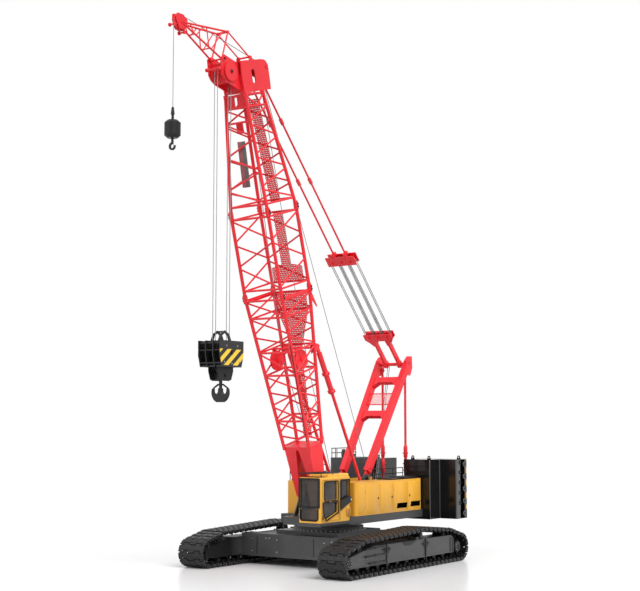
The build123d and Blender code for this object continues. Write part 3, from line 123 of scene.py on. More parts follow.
# luffing sheaves: their places along the suspension from the head, and across the machine
BRIDLE_SHEAVES = 8.15
GANTRY_SHEAVES = (GANTRY_PIN - PENDANT_PIN).length - 1.60
SHEAVE_ROWS = (-0.43, 0, 0.43)

# drums of the winches, behind the slewing axis
FRONT_DRUM, REAR_DRUM = 0.15, 3.35

# pins of the gantry and its stays, behind the slewing axis and up
GANTRY_FOOT, STAY_FOOT = (1.70, 3.23), (4.87, 3.0)


# ------------------------------------------------------------------ shader maths
def feed(tree, socket, value):
    """Links a socket to another or to a Value, or sets it to a constant."""
    if isinstance(value, Value):
        value = value.socket
    if isinstance(value, bpy.types.NodeSocket):
        tree.links.new(value, socket)
    else:
        socket.default_value = value


def add_node(tree, kind, settings=None, sockets=None):
    """A node of any type: its settings first, then its sockets' values or links, by name or number."""
    node = tree.nodes.new(kind)
    for name, value in (settings or {}).items():
        setattr(node, name, value)
    for name, value in (sockets or {}).items():
        feed(tree, node.inputs[name], value)
    return node


class Value:
    """A socket that can be used in plain arithmetic; each operation adds its Math node."""

    def __init__(self, tree, socket):
        self.tree, self.socket = tree, socket

    def math(self, operation, *others, swap=False):
        """Any operation of a Math node; swap puts this value last."""
        terms = [self, *others]
        if swap:
            terms.reverse()
        node = add_node(self.tree, "ShaderNodeMath", {"operation": operation}, dict(enumerate(terms)))
        return Value(self.tree, node.outputs[0])

    def __add__(self, other):
        return self.math("ADD", other)

    def __mul__(self, other):
        return self.math("MULTIPLY", other)

    def __sub__(self, other):
        return self.math("SUBTRACT", other)

    def __rsub__(self, other):
        return self.math("SUBTRACT", other, swap=True)

    def __truediv__(self, other):
        return self.math("DIVIDE", other)

    def __gt__(self, other):
        return self.math("GREATER_THAN", other)

    def __lt__(self, other):
        return self.math("LESS_THAN", other)

    __radd__, __rmul__ = __add__, __mul__

    def between(self, low, high):
        """1 inside a range and 0 outside it."""
        return (self > low) * (self < high)

    def ramp(self, low, high):
        """Runs from 0 to 1 between two values."""
        node = add_node(self.tree, "ShaderNodeMapRange", sockets={
            "Value": self, "From Min": low, "From Max": high})
        return Value(self.tree, node.outputs["Result"])

    def stripes(self, pitch, share=0.5):
        """1 on the given share of each pitch."""
        return (self / pitch).math("FRACT") < share


class Finish:
    """A material in the making."""

    def __init__(self, name):
        self.material = bpy.data.materials.new(name)
        self.material.use_nodes = True
        self.tree = self.material.node_tree
        self.tree.nodes.clear()
        self.output = self.tree.nodes.new("ShaderNodeOutputMaterial")
        self.place = self.node("ShaderNodeTexCoord").outputs["Object"]
        split = self.node("ShaderNodeSeparateXYZ", sockets={"Vector": self.place})
        self.x, self.y, self.z = (Value(self.tree, split.outputs[axis]) for axis in "XYZ")

    def node(self, kind, settings=None, sockets=None):
        """A node of any type, as add_node makes it."""
        return add_node(self.tree, kind, settings, sockets)

    def noise(self, scale, detail=3.0, stretch=(1, 1, 1), roughness=0.5):
        """Smooth random values from 0 to 1."""
        place = self.node("ShaderNodeMapping", sockets={"Vector": self.place, "Scale": stretch}).outputs[0]
        node = self.node("ShaderNodeTexNoise", sockets={
            "Vector": place, "Scale": scale, "Detail": detail, "Roughness": roughness})
        return Value(self.tree, node.outputs["Fac"])

    def cells(self, scale):
        """Distances from the middles of small cells."""
        node = self.node("ShaderNodeTexVoronoi", sockets={"Vector": self.place, "Scale": scale})
        return Value(self.tree, node.outputs["Distance"])

    def mix(self, share, first, second):
        """A colour that runs from the first to the second."""
        # by number, because a Mix node's sockets for numbers, vectors and colours share their names
        return self.node("ShaderNodeMix", {"data_type": "RGBA"}, {0: share, 6: first, 7: second}).outputs[2]

    def bump(self, height, strength=0.3, distance=0.01):
        """A Bump node's normal."""
        return self.node("ShaderNodeBump", sockets={
            "Height": height, "Strength": strength, "Distance": distance}).outputs[0]

    def ends(self, shader):
        """Ends the material in a shader node."""
        feed(self.tree, self.output.inputs["Surface"], shader.outputs[0])
        return self.material

    def surface(self, colour, **sockets):
        """Ends the material in one plain shader, its sockets named in lower case."""
        values = {"Base Color": colour}
        for name, value in sockets.items():
            values[name.replace("_", " ").title().replace("Ior", "IOR")] = value
        return self.ends(self.node("ShaderNodeBsdfPrincipled", sockets=values))


def tone(colour, level=1.0):
    """A colour at a level, with its alpha."""
    return (*[min(1.0, part * level) for part in colour[:3]], 1.0)


DUST = (0.33, 0.29, 0.24, 1.0)
BARE = (0.36, 0.35, 0.34, 1.0)
# near black of the painted shade on the track frames' inner faces
INNER_SHADE_BLACK = (0.003, 0.003, 0.003, 1)

# painted shade on the inner faces of the track frames: its reach from the middle, and where the painted shade
# runs out
SHADED_REACH, SHADE_FULL, SHADE_GONE = 2.9, SLEW_Y - 2.6, SLEW_Y - 1.95


def coat(name, colour, roughness=0.34, shine=0.35, dust=0.25, wear=0.5, mirror=0.5, shaded_inner=False):
    """Sprayed paint: broad shade changes, faint runs of dirt, orange peel, dust low down and worn spots.

    With the flag set, the faces between the front ends of the tracks are painted near black: painted shade.
    """
    f = Finish(name)
    broad = f.noise(0.7, 4)
    peel = f.noise(70, 2)
    runs = f.noise(5, 4, (1, 1, 0.12)).ramp(0.5, 0.78)
    specks = f.noise(9, 6, roughness=0.7).ramp(0.70, 0.74)
    paint = f.mix(broad.ramp(0.25, 0.75), tone(colour, 0.90), tone(colour, 1.07))
    paint = f.mix(runs * 0.16, paint, tone(colour, 0.55))
    low = (1.0 - f.z.ramp(0.1, 2.4)) * f.noise(2.5, 5).ramp(0.35, 0.8) * dust
    paint = f.mix(low, paint, DUST)
    paint = f.mix(specks * 0.35 * wear, paint, BARE)
    if shaded_inner:
        # painted shade: the inner faces near the front of the tracks go near black
        painted_shade = (f.x.math("ABSOLUTE") < SHADED_REACH) * (1.0 - f.y.ramp(SHADE_FULL, SHADE_GONE)) * 0.92
        paint = f.mix(painted_shade, paint, INNER_SHADE_BLACK)
    gloss = roughness + broad * 0.08 + runs * 0.08 + low * 0.3
    return f.surface(paint, roughness=gloss, coat_weight=shine * (1.0 - low), coat_roughness=0.12,
                     specular_ior_level=mirror, normal=f.bump(peel, 0.05, 0.002))


def make_paints(red, yellow, grey, black):
    """The sprayed paints, by name."""
    return {
        "red": coat("red_boom_paint", red, 0.34, 0.12, 0.05, mirror=0.35),
        "yellow": coat("yellow_body_paint", yellow, 0.30, 0.2, 0.05, mirror=0.32),
        "grey": coat("grey_frame_paint", grey, 0.36, 0.15, 0.08, mirror=0.35),
        # the track frames' paint, with painted shade on their inner faces at the front
        "frame": coat("track_frame_paint", tone(grey, 0.86), 0.36, 0.15, 0.08, mirror=0.3, shaded_inner=True),
        "faded": coat("faded_plate_paint", (0.36, 0.14, 0.14), 0.5, 0.0, 0.1, mirror=0.2),
        "pale": coat("pale_grey_plate_paint", (0.17, 0.165, 0.165), 0.5, 0.0, 0.1, mirror=0.2),
        "light_grey": coat("light_grey_edge_paint", (0.085, 0.085, 0.087), 0.38, 0.1, 0.05, mirror=0.3),
        "black": coat("black_fitting_paint", black, 0.38, 0.08, 0.06, mirror=0.25),
        "gloss_black": coat("gloss_black_ballast_paint", black, 0.14, 0.25, 0.02, 0.1, mirror=0.2),
        "seal": coat("black_rubber_seal", (0.006, 0.006, 0.0065), 0.5, 0.0, 0.05, 0.0, mirror=0.15),
        # dead black without shine: on the counterweight it is painted shade in the channel between the edge
        # strips; the houses' blank bands are black plates
        "recess": coat("unlit_recess_black", (0.002, 0.002, 0.002), 0.9, 0.0, 0.0, 0.0, mirror=0.0),
        "iron": coat("engine_iron", (0.06, 0.06, 0.062), 0.5, 0.1, 0.4),
    }


def make_track():
    """Cast steel of the track shoes, rubbed bright in places and muddy low down."""
    f = Finish("cast_track_steel")
    grain = f.noise(45, 3)
    rub = f.noise(3.2, 5).ramp(0.52, 0.75)
    mud = f.noise(6, 6).ramp(0.60, 0.85) * (1.0 - f.z.ramp(0.2, 1.5))
    steel = f.mix(f.noise(1.2, 4), (0.008, 0.008, 0.0085, 1), (0.018, 0.018, 0.019, 1))
    steel = f.mix(rub * 0.12, steel, (0.07, 0.07, 0.07, 1))
    steel = f.mix(mud * 0.05, steel, DUST)
    return f.surface(steel, roughness=0.28 + grain * 0.16 + mud * 0.2, coat_weight=0.06, coat_roughness=0.1,
                     specular_ior_level=0.2, normal=f.bump(grain, 0.3, 0.006))


def make_steel():
    """Machined steel of pins and nuts."""
    f = Finish("machined_steel")
    brushed = f.noise(60, 3, (0.15, 1, 1))
    steel = f.mix(brushed, (0.34, 0.34, 0.34, 1), (0.55, 0.54, 0.53, 1))
    return f.surface(steel, metallic=1.0, roughness=0.28 + brushed * 0.15,
                     normal=f.bump(brushed, 0.08, 0.002))


def make_rope():
    """Greased steel wire."""
    f = Finish("wire_rope_steel")
    strand = (f.z * 40 + f.y * 12 + f.x * 12).math("SINE")
    grease = f.noise(1.5, 4).ramp(0.3, 0.8)
    wire = f.mix(grease, (0.34, 0.34, 0.35, 1), (0.20, 0.20, 0.205, 1))
    return f.surface(wire, metallic=0.6, roughness=0.42 + grease * 0.1, normal=f.bump(strand, 0.2, 0.003))


def make_forged():
    """Scaled forging of the hooks, worn bright in places."""
    f = Finish("forged_hook_steel")
    scale = f.noise(22, 6, roughness=0.65)
    worn = f.noise(4, 4).ramp(0.58, 0.72)
    forged = f.mix(scale, (0.018, 0.018, 0.019, 1), (0.045, 0.043, 0.042, 1))
    forged = f.mix(worn * 0.5, forged, (0.20, 0.19, 0.18, 1))
    return f.surface(forged, metallic=0.7, roughness=0.40 + scale * 0.2, normal=f.bump(scale, 0.3, 0.004))


def make_glass():
    """Tinted cab glass with a few smears."""
    f = Finish("tinted_cab_glass")
    smear = f.noise(3, 4).ramp(0.45, 0.8)
    shades = f.noise(1.3, 2, (1, 1, 0.5)).ramp(0.4, 0.62)
    tint = f.mix(shades, (0.020, 0.020, 0.021, 1), (0.075, 0.050, 0.040, 1))
    tint = f.mix(smear * 0.2, tint, (0.11, 0.10, 0.10, 1))
    return f.surface(tint, roughness=0.04 + smear * 0.08, coat_weight=0.15, specular_ior_level=0.4,
                     alpha=0.74 + smear * 0.08)


def make_vinyl():
    """Grained vinyl of the seat."""
    f = Finish("seat_vinyl")
    grain = f.cells(160)
    vinyl = f.mix(f.noise(6), (0.018, 0.018, 0.019, 1), (0.035, 0.034, 0.034, 1))
    return f.surface(vinyl, roughness=0.55 + grain * 0.1, normal=f.bump(grain, 0.25, 0.002))


def make_lens():
    """Fluted glass of the lamp."""
    f = Finish("lamp_lens")
    flutes = f.z.stripes(0.012)
    glass = f.mix(flutes * 0.2, (0.75, 0.75, 0.73, 1), (0.45, 0.45, 0.44, 1))
    return f.surface(glass, roughness=0.08 + flutes * 0.05, coat_weight=0.8)


def make_perforated(red):
    """Painted tread plate with rows of round holes, for walkways."""
    pitch, hole_radius, rim_radius = 0.075, 0.30, 0.38
    f = Finish("perforated_red_walkway")
    rows = (f.z * math.sin(BOOM_LEAN) - f.y * math.cos(BOOM_LEAN)) / pitch
    shift = (rows.math("FLOOR") * 0.5).math("FRACT")
    across = (f.x / pitch + shift).math("FRACT") - 0.5
    down = rows.math("FRACT") - 0.5
    reach = (across * across + down * down).math("SQRT")
    hole, rim = reach < hole_radius, reach.between(hole_radius, rim_radius)
    paint = f.mix(f.noise(1.5), tone(red, 0.9), tone(red, 1.05))
    return f.surface(f.mix(rim * 0.5, paint, tone(red, 0.6)), roughness=0.45 + rim * 0.1, alpha=1.0 - hole)


def make_hazard(yellow, black):
    """Gloss black ballast paint with slanted warning stripes on the rear edges."""
    f = Finish("ballast_paint_with_stripes")
    low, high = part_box("counterweight_stack_left")
    stripe_depth, stripe_width, pitch, slope = 0.27, 0.46, 0.52, 0.9
    across = f.x.math("ABSOLUTE")
    slant = (f.z + f.y * slope + across * -slope).stripes(pitch)
    edge = (f.y > high.y - stripe_depth) * (across > high.x - stripe_width)
    edge = edge * f.z.between(low.z + 0.05, high.z - 0.16)
    scratches = f.noise(7, 6, roughness=0.7).ramp(0.68, 0.73)
    paint = f.mix(f.noise(0.9, 3), tone(black, 0.8), tone(black, 1.4))
    paint = f.mix(edge * slant, paint, tone(yellow))
    paint = f.mix(scratches * 0.12, paint, BARE)
    return f.surface(paint, roughness=0.12 + f.noise(2.0) * 0.08, coat_weight=0.30 - scratches * 0.2,
                     coat_roughness=0.06, specular_ior_level=0.25, normal=f.bump(f.noise(60, 2), 0.03, 0.002))


def make_block_hazard(black):
    """Black block paint with slanted warning stripes on the lower half of its outer cheeks."""
    f = Finish("hook_block_paint_with_stripes")
    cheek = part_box("hook_block")[1].x
    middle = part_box("main_falls")[0].z
    skin, below, above, pitch, slope = 0.008, 0.46, 0.10, 0.40, 0.8
    slant = (f.z - f.y * slope).stripes(pitch)
    band = (f.x.math("ABSOLUTE") > cheek - skin) * f.z.between(middle - below, middle + above)
    chips = f.noise(11, 6, roughness=0.7).ramp(0.64, 0.70)
    paint = f.mix(f.noise(1.4, 3), tone(black, 0.9), tone(black, 1.8))
    paint = f.mix(band * slant, paint, (0.90, 0.58, 0.045, 1))
    paint = f.mix(chips * 0.15, paint, BARE)
    return f.surface(paint, roughness=0.36 + chips * 0.2, coat_weight=0.2 - chips * 0.1,
                     specular_ior_level=0.3, normal=f.bump(f.noise(40, 2), 0.05, 0.002))


def make_floor():
    """White floor that fades out far from the machine."""
    fade_start, fade_end = 14, 34
    f = Finish("studio_floor_paint")
    reach = (f.x * f.x + f.y * f.y).math("SQRT")
    far = (reach + f.noise(0.05, 1) * 0.5).ramp(fade_start, fade_end)
    shader = f.node("ShaderNodeBsdfPrincipled", sockets={
        "Base Color": (0.93, 0.93, 0.93, 1), "Roughness": 0.35, "Coat Weight": 0.25, "Coat Roughness": 0.12})
    clear = f.node("ShaderNodeBsdfTransparent")
    return f.ends(f.node("ShaderNodeMixShader", sockets={0: far, 1: shader.outputs[0], 2: clear.outputs[0]}))


def make_finishes(looks):
    """Every finish, by name."""
    return {
        **make_paints(looks.red, looks.yellow, looks.grey, looks.black),
        "track": make_track(),
        "steel": make_steel(),
        "rope": make_rope(),
        "forged": make_forged(),
        "glass": make_glass(),
        "vinyl": make_vinyl(),
        "lens": make_lens(),
        "perforated": make_perforated(looks.red),
        "hazard": make_hazard(looks.yellow, looks.black),
        "block_hazard": make_block_hazard(looks.black),
        "floor": make_floor(),
    }


# ------------------------------------------------------------------ shapes
class Work:
    """A new piece in the making: a mesh that takes shapes and becomes one object."""

    def __init__(self, name, body, paints, slot=None):
        self.name, self.body, self.paints, self.slot = name, body, paints, slot
        self.mesh = bmesh.new()
        self.paint = 0

    def use(self, paint):
        """Chooses the finish of the shapes that follow."""
        self.paint = self.paints.index(paint)
        return self

    def _own(self, faces):
        """Gives faces the chosen finish."""
        for face in faces:
            face.material_index = self.paint

    def _own_verts(self, verts):
        """Gives the faces round some vertices the chosen finish."""
        self._own({face for vert in verts for face in vert.link_faces})

    def _thicken(self, sheet, depth):
        """Pulls flat faces out into a plate."""
        made = bmesh.ops.extrude_face_region(self.mesh, geom=sheet)["geom"]
        moved = [item for item in made if isinstance(item, bmesh.types.BMVert)]
        bmesh.ops.translate(self.mesh, vec=depth, verts=moved)
        around = {face for vert in moved for face in vert.link_faces} | set(sheet)
        bmesh.ops.recalc_face_normals(self.mesh, faces=list(around))
        self._own(around)
        return self

    def box(self, low, high, bevel=0.0, segments=2, turn=None):
        """A block between two corners; turn is a matrix that is applied about its middle."""
        low, high = Vector(low), Vector(high)
        size = Matrix.Diagonal((*(high - low), 1))
        place = Matrix.Translation((low + high) / 2) @ (turn or Matrix.Identity(4)) @ size
        made = bmesh.ops.create_cube(self.mesh, size=1, matrix=place)["verts"]
        self._own_verts(made)
        if bevel:
            edges = list({edge for vert in made for edge in vert.link_edges})
            cut = bmesh.ops.bevel(self.mesh, geom=edges, offset=bevel, segments=segments, profile=0.5,
                                  affect="EDGES", material=-1)
            self._own(cut["faces"])
        return self

    def rod(self, start, end, radius, sides=12):
        """A round bar between two points."""
        start, end = Vector(start), Vector(end)
        reach = end - start
        place = Matrix.Translation((start + end) / 2) @ reach.to_track_quat("Z", "Y").to_matrix().to_4x4()
        made = bmesh.ops.create_cone(self.mesh, cap_ends=True, segments=sides, radius1=radius, radius2=radius,
                                     depth=reach.length, matrix=place)
        self._own_verts(made["verts"])
        return self

    def bar(self, middle, reach, radius, sides=12):
        """A round bar that reaches both ways from its middle."""
        return self.rod(middle - reach, middle + reach, radius, sides)

    def ball(self, middle, radius, rings=6):
        """A round knob."""
        made = bmesh.ops.create_uvsphere(self.mesh, u_segments=2 * rings, v_segments=rings, radius=radius,
                                         matrix=Matrix.Translation(middle))
        self._own_verts(made["verts"])
        return self

    def rail(self, points, radius, sides=8):
        """Round tube through some points, with a ball at each bend."""
        for start, end in zip(points, points[1:]):
            self.rod(start, end, radius, sides)
        for bend in points[1:-1]:
            self.ball(bend, radius, 4)
        return self

    def nut(self, middle, axis, radius, height):
        """A hexagon nut on its washer, standing on a face, with the bolt's end."""
        middle, axis = Vector(middle), Vector(axis).normalized()
        washer, top, end = (middle + axis * height * share for share in (0.2, 1, 1.3))
        self.rod(middle, washer, radius * 1.25, 16)
        self.rod(washer, top, radius, 6)
        self.rod(top, end, radius * 0.5, 10)
        return self

    def nuts(self, middle, reach, radius, height):
        """A nut at each end of a shaft across the machine."""
        for side in SIDES:
            self.nut(middle + X_AXIS * (side * reach), X_AXIS * side, radius, height)
        return self

    def slab(self, outline, depth):
        """A flat plate: its outline as points, and how far it is thickened."""
        face = self.mesh.faces.new([self.mesh.verts.new(point) for point in outline])
        return self._thicken([face], depth)

    def ring(self, outer, inner, depth):
        """A flat frame between two outlines with as many points, thickened."""
        edges = []
        for outline in (outer, inner):
            verts = [self.mesh.verts.new(point) for point in outline]
            edges += [self.mesh.edges.new(pair) for pair in zip(verts, verts[1:] + verts[:1])]
        return self._thicken(bmesh.ops.bridge_loops(self.mesh, edges=edges)["faces"], depth)

    def turned(self, outline, centre, axis, sides=32):
        """A turned part: its outline is (radius, along the axis) from the centre."""
        axis = Vector(axis).normalized()
        side = axis.orthogonal().normalized()
        verts = [self.mesh.verts.new(Vector(centre) + side * radius + axis * along)
                 for radius, along in outline]
        edges = [self.mesh.edges.new(pair) for pair in zip(verts, verts[1:])]
        bmesh.ops.spin(self.mesh, geom=verts + edges, cent=centre, axis=axis, angle=math.tau, steps=sides,
                       use_merge=True, use_duplicate=False)
        fresh = {face for vert in verts if vert.is_valid for face in vert.link_faces}
        grown = set(fresh)
        while fresh:
            fresh = {link for face in fresh for edge in face.edges for link in edge.link_faces} - grown
            grown |= fresh
        joined = list({vert for face in grown for vert in face.verts})
        bmesh.ops.remove_doubles(self.mesh, verts=joined, dist=1e-5)
        grown = [face for face in grown if face.is_valid]
        bmesh.ops.recalc_face_normals(self.mesh, faces=grown)
        self._own(grown)
        return self

    def rope(self, start, end, radius, lay=0.09):
        """A wire rope of six strands between two points; lay is the length of one step of its twist."""
        groove_depth, twist = 0.78, 0.9
        start, end = Vector(start), Vector(end)
        reach = end - start
        steps = max(2, round(reach.length / lay))
        turn = reach.to_track_quat("Z", "Y").to_matrix().to_4x4()
        others = set(self.mesh.faces)
        made = bmesh.ops.create_circle(self.mesh, cap_ends=False, segments=12, radius=radius,
                                       matrix=Matrix.Translation(start) @ turn)["verts"]
        for groove in made[::2]:
            groove.co = start + (groove.co - start) * groove_depth
        edges = list({edge for vert in made for edge in vert.link_edges})
        bmesh.ops.spin(self.mesh, geom=edges, cent=start, axis=reach.normalized(), dvec=reach / steps,
                       angle=twist * steps, steps=steps, use_duplicate=False)
        # the spin leaves these faces pointing inwards
        bmesh.ops.reverse_faces(self.mesh, faces=list(set(self.mesh.faces) - others))
        return self

    def mirrored(self):
        """Adds the same shapes on the other side of the machine."""
        geometry = self.mesh.verts[:] + self.mesh.edges[:] + self.mesh.faces[:]
        bmesh.ops.mirror(self.mesh, geom=geometry, matrix=Matrix.Identity(4), merge_dist=-1, axis="X")
        bmesh.ops.recalc_face_normals(self.mesh, faces=self.mesh.faces[:])
        return self

    def stamp(self, shape, place):
        """Adds a copy of a ready mesh, moved by a matrix."""
        shape.transform(place)
        self.mesh.from_mesh(shape)
        shape.transform(place.inverted())
        return self

    def shape(self):
        """Ends the work as a bare mesh, to stamp into another piece."""
        data = bpy.data.meshes.new(self.name)
        self.mesh.to_mesh(data)
        self.mesh.free()
        return data

    def done(self, smooth=30):
        """Makes the object, which rides on its body; edges are sharp from the angle of smooth."""
        data = self.shape()
        for paint in self.paints:
            data.materials.append(FINISHES[paint])
        data.shade_smooth()
        data.set_sharp_from_angle(angle=math.radians(smooth))
        made = bpy.data.objects.new(self.name, data)
        bpy.context.scene.collection.objects.link(made)
        if self.body:
            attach(made, self.body)
        return made


# ------------------------------------------------------------------ outlines
def rounded(low, high, corner, foot=None):
    """The points of a rectangle with round corners, anticlockwise; foot is the lower corners' own radius."""
    steps = 4
    foot = foot or corner
    middles = (
        (high[0] - corner, high[1] - corner, corner), (low[0] + corner, high[1] - corner, corner),
        (low[0] + foot, low[1] + foot, foot), (high[0] - foot, low[1] + foot, foot),
    )
    points = []
    for quarter, (across, up, radius) in enumerate(middles):
        for step in range(steps + 1):
            turn = math.pi / 2 * (quarter + step / steps)
            points.append(Vector((across + radius * math.cos(turn), up + radius * math.sin(turn))))
    return points


def widened(outline, by):
    """An anticlockwise outline, moved outwards."""
    outline = [Vector(point) for point in outline]
    moved = []
    for before, here, after in zip(outline[-1:] + outline[:-1], outline, outline[1:] + outline[:1]):
        first, second = (here - before).normalized(), (after - here).normalized()
        out = Vector((first.y + second.y, -first.x - second.x))
        moved.append(here + out * (by / (1 + first.dot(second))))
    return moved


def placed(outline, face, out=0.0):
    """The points of a flat outline on a face, which is a way to give points."""
    return [face(*point, out) for point in outline]


def circle(count, radius):
    """Evenly spaced points of a circle."""
    turns = [math.tau * index / count for index in range(count)]
    return [(radius * math.cos(turn), radius * math.sin(turn)) for turn in turns]


def belt(wheels, count):
    """Evenly spaced places round a belt pulled over wheels (y, z, radius): each with its way ahead."""
    rim = [Vector((y + across, z + up)) for y, z, radius in wheels for across, up in circle(240, radius)]
    outline = [rim[index] for index in convex_hull_2d(rim)]
    outline.append(outline[0])
    lengths = [(after - here).length for here, after in zip(outline, outline[1:])]
    pitch = sum(lengths) / count
    places, passed, want = [], 0.0, pitch / 2
    for here, after, length in zip(outline, outline[1:], lengths):
        while length and passed <= want < passed + length:
            along = (after - here) / length
            places.append((here + along * (want - passed), along))
            want += pitch
        passed += length
    return places, pitch


def track_wheels():
    """The wheels that a track runs over, in side view, out to the faces of its shoes."""
    end_radius, carrier_radius = 0.56, 0.30
    idler, sprocket = -3.97, 3.77
    carriers = ((-3.05, 1.345), (1.25, 1.50), (2.96, 1.35))
    wheels = [(SLEW_Y + y, end_radius, end_radius) for y in (idler, sprocket)]
    return wheels + [(SLEW_Y + y, top - carrier_radius, carrier_radius) for y, top in carriers]


FINISHES = {}
ROPE_SMOOTH = 80

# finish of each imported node
NODE_FINISHES = {
    "track": ("track_left", "track_right", "idlers", "drive_sprockets", "track_rollers"),
    "frame": ("track_frame_left", "track_frame_right"),
    "grey": ("carbody", "upper_frame", "engine_hood"),
    "yellow": ("house_left", "house_right", "cab_shell", "cab_door"),
    "iron": ("engine", "slew_ring"),
    "black": ("winches", "cab_fittings", "aux_weight", "handrails"),
    "glass": ("cab_glass", "door_glass"),
    "vinyl": ("operator_seat",),
    "hazard": ("counterweight_stack_left", "counterweight_stack_right"),
    "gloss_black": ("counterweight_centre", "counterweight_base"),
    "red": ("gantry", "back_stays", "pendants", "bridle", "sheave_frame", "boom_base", "boom_insert",
            "boom_top", "boom_head", "head_sheaves", "jib", "jib_sheave", "backstop_tubes", "backstop_rods"),
    "perforated": ("boom_walkway",),
    "rope": ("main_falls", "aux_line"),
    "block_hazard": ("hook_block",),
    "forged": ("main_hook", "aux_hook"),
}


def colour(name, description, default):
    """A colour that a user may change."""
    return FloatVectorProperty(name=name, description=description, default=default, min=0, max=1,
                               subtype="COLOR")


class CraneLooks(bpy.types.PropertyGroup):
    """Colours and sizes of the dressing that a user may change."""

    red: colour("Boom red", "Paint of the boom, gantry and stays", (0.86, 0.022, 0.034))
    yellow: colour("Body yellow", "Paint of the cab and the houses", (0.86, 0.43, 0.042))
    grey: colour("Frame grey", "Paint of the frames and skirts", (0.050, 0.051, 0.053))
    black: colour("Fitting black", "Paint of the ballast and fittings", (0.008, 0.008, 0.0085))
    rope_radius: FloatProperty(name="Rope radius", description="Radius of the hoist and luffing ropes",
                               default=0.014, min=0.006, max=0.03, subtype="DISTANCE", unit="LENGTH")
    key_strength: FloatProperty(name="Key light", description="Strength of the main lamp", default=2.9,
                                min=0)
    fill_strength: FloatProperty(name="Fill light", description="Light from all around", default=0.35,
                                 min=0)
    grousers: IntProperty(name="Track shoes", description="Shoes round each track", default=60, min=20,
                          max=90)


class CRANE_OT_finishes(bpy.types.Operator):
    """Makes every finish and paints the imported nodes"""

    bl_idname = "crane.finishes"
    bl_label = "Finishes"

    def execute(self, context):
        FINISHES.update(make_finishes(context.scene.crane_looks))
        for finish, nodes in NODE_FINISHES.items():
            for name in nodes:
                materials = frame["nodes"][name].data.materials
                materials.clear()
                materials.append(FINISHES[finish])
        return {"FINISHED"}


class CRANE_OT_stage(bpy.types.Operator):
    """Adds the floor, the lamps, the surroundings and the camera"""

    bl_idname = "crane.stage"
    bl_label = "Stage"

    def execute(self, context):
        looks = context.scene.crane_looks
        self.surroundings(context, looks.fill_strength)
        floor_reach, front_share = 60, 0.28
        floor = Work("studio_floor", None, ["floor"])
        bmesh.ops.create_grid(floor.mesh, x_segments=1, y_segments=1, size=floor_reach)
        floor.done()
        self.lamp(context, "key_lamp", (26, -9, 30), looks.key_strength, 45)
        self.lamp(context, "front_lamp", (-14, -30, 22), looks.key_strength * front_share, 50)
        self.camera(context)
        context.scene.view_settings.view_transform = "Standard"
        return {"FINISHED"}

    def surroundings(self, context, fill):
        """A world that looks white and lights the machine with the fill's strength."""
        world = bpy.data.worlds.new("studio")
        context.scene.world = world
        world.use_nodes = True
        tree = world.node_tree
        rays = add_node(tree, "ShaderNodeLightPath")
        shown = Value(tree, rays.outputs["Is Camera Ray"])
        for ray in ("Is Glossy Ray", "Is Transmission Ray"):
            shown = shown.math("MAXIMUM", rays.outputs[ray])
        background = tree.nodes["Background"]
        feed(tree, background.inputs["Color"], (1, 1, 1, 1))
        feed(tree, background.inputs["Strength"], shown * (1.0 - fill) + fill)

    def lamp(self, context, name, place, strength, spread):
        """A soft sun that shines from a place to the origin; its spread is in degrees."""
        data = bpy.data.lights.new(name, "SUN")
        data.energy = strength
        data.angle = math.radians(spread)
        lamp = bpy.data.objects.new(name, data)
        lamp.rotation_euler = Vector(place).to_track_quat("Z", "Y").to_euler()
        context.scene.collection.objects.link(lamp)

    def camera(self, context):
        """A long lens, low in front of the machine's left side."""
        data = bpy.data.cameras.new("camera")
        data.sensor_width = 36
        data.lens = 71.55
        data.clip_end = 400
        camera = bpy.data.objects.new("camera", data)
        turn, rise = math.radians(35.0), math.radians(5.64)
        camera.location = on_machine(28.5, -41.3, 5.5)
        level = Vector((-math.sin(turn), math.cos(turn), 0))
        forward = level * math.cos(rise) + Z_AXIS * math.sin(rise)
        camera.rotation_euler = forward.to_track_quat("-Z", "Y").to_euler()
        context.scene.collection.objects.link(camera)
        context.scene.camera = camera


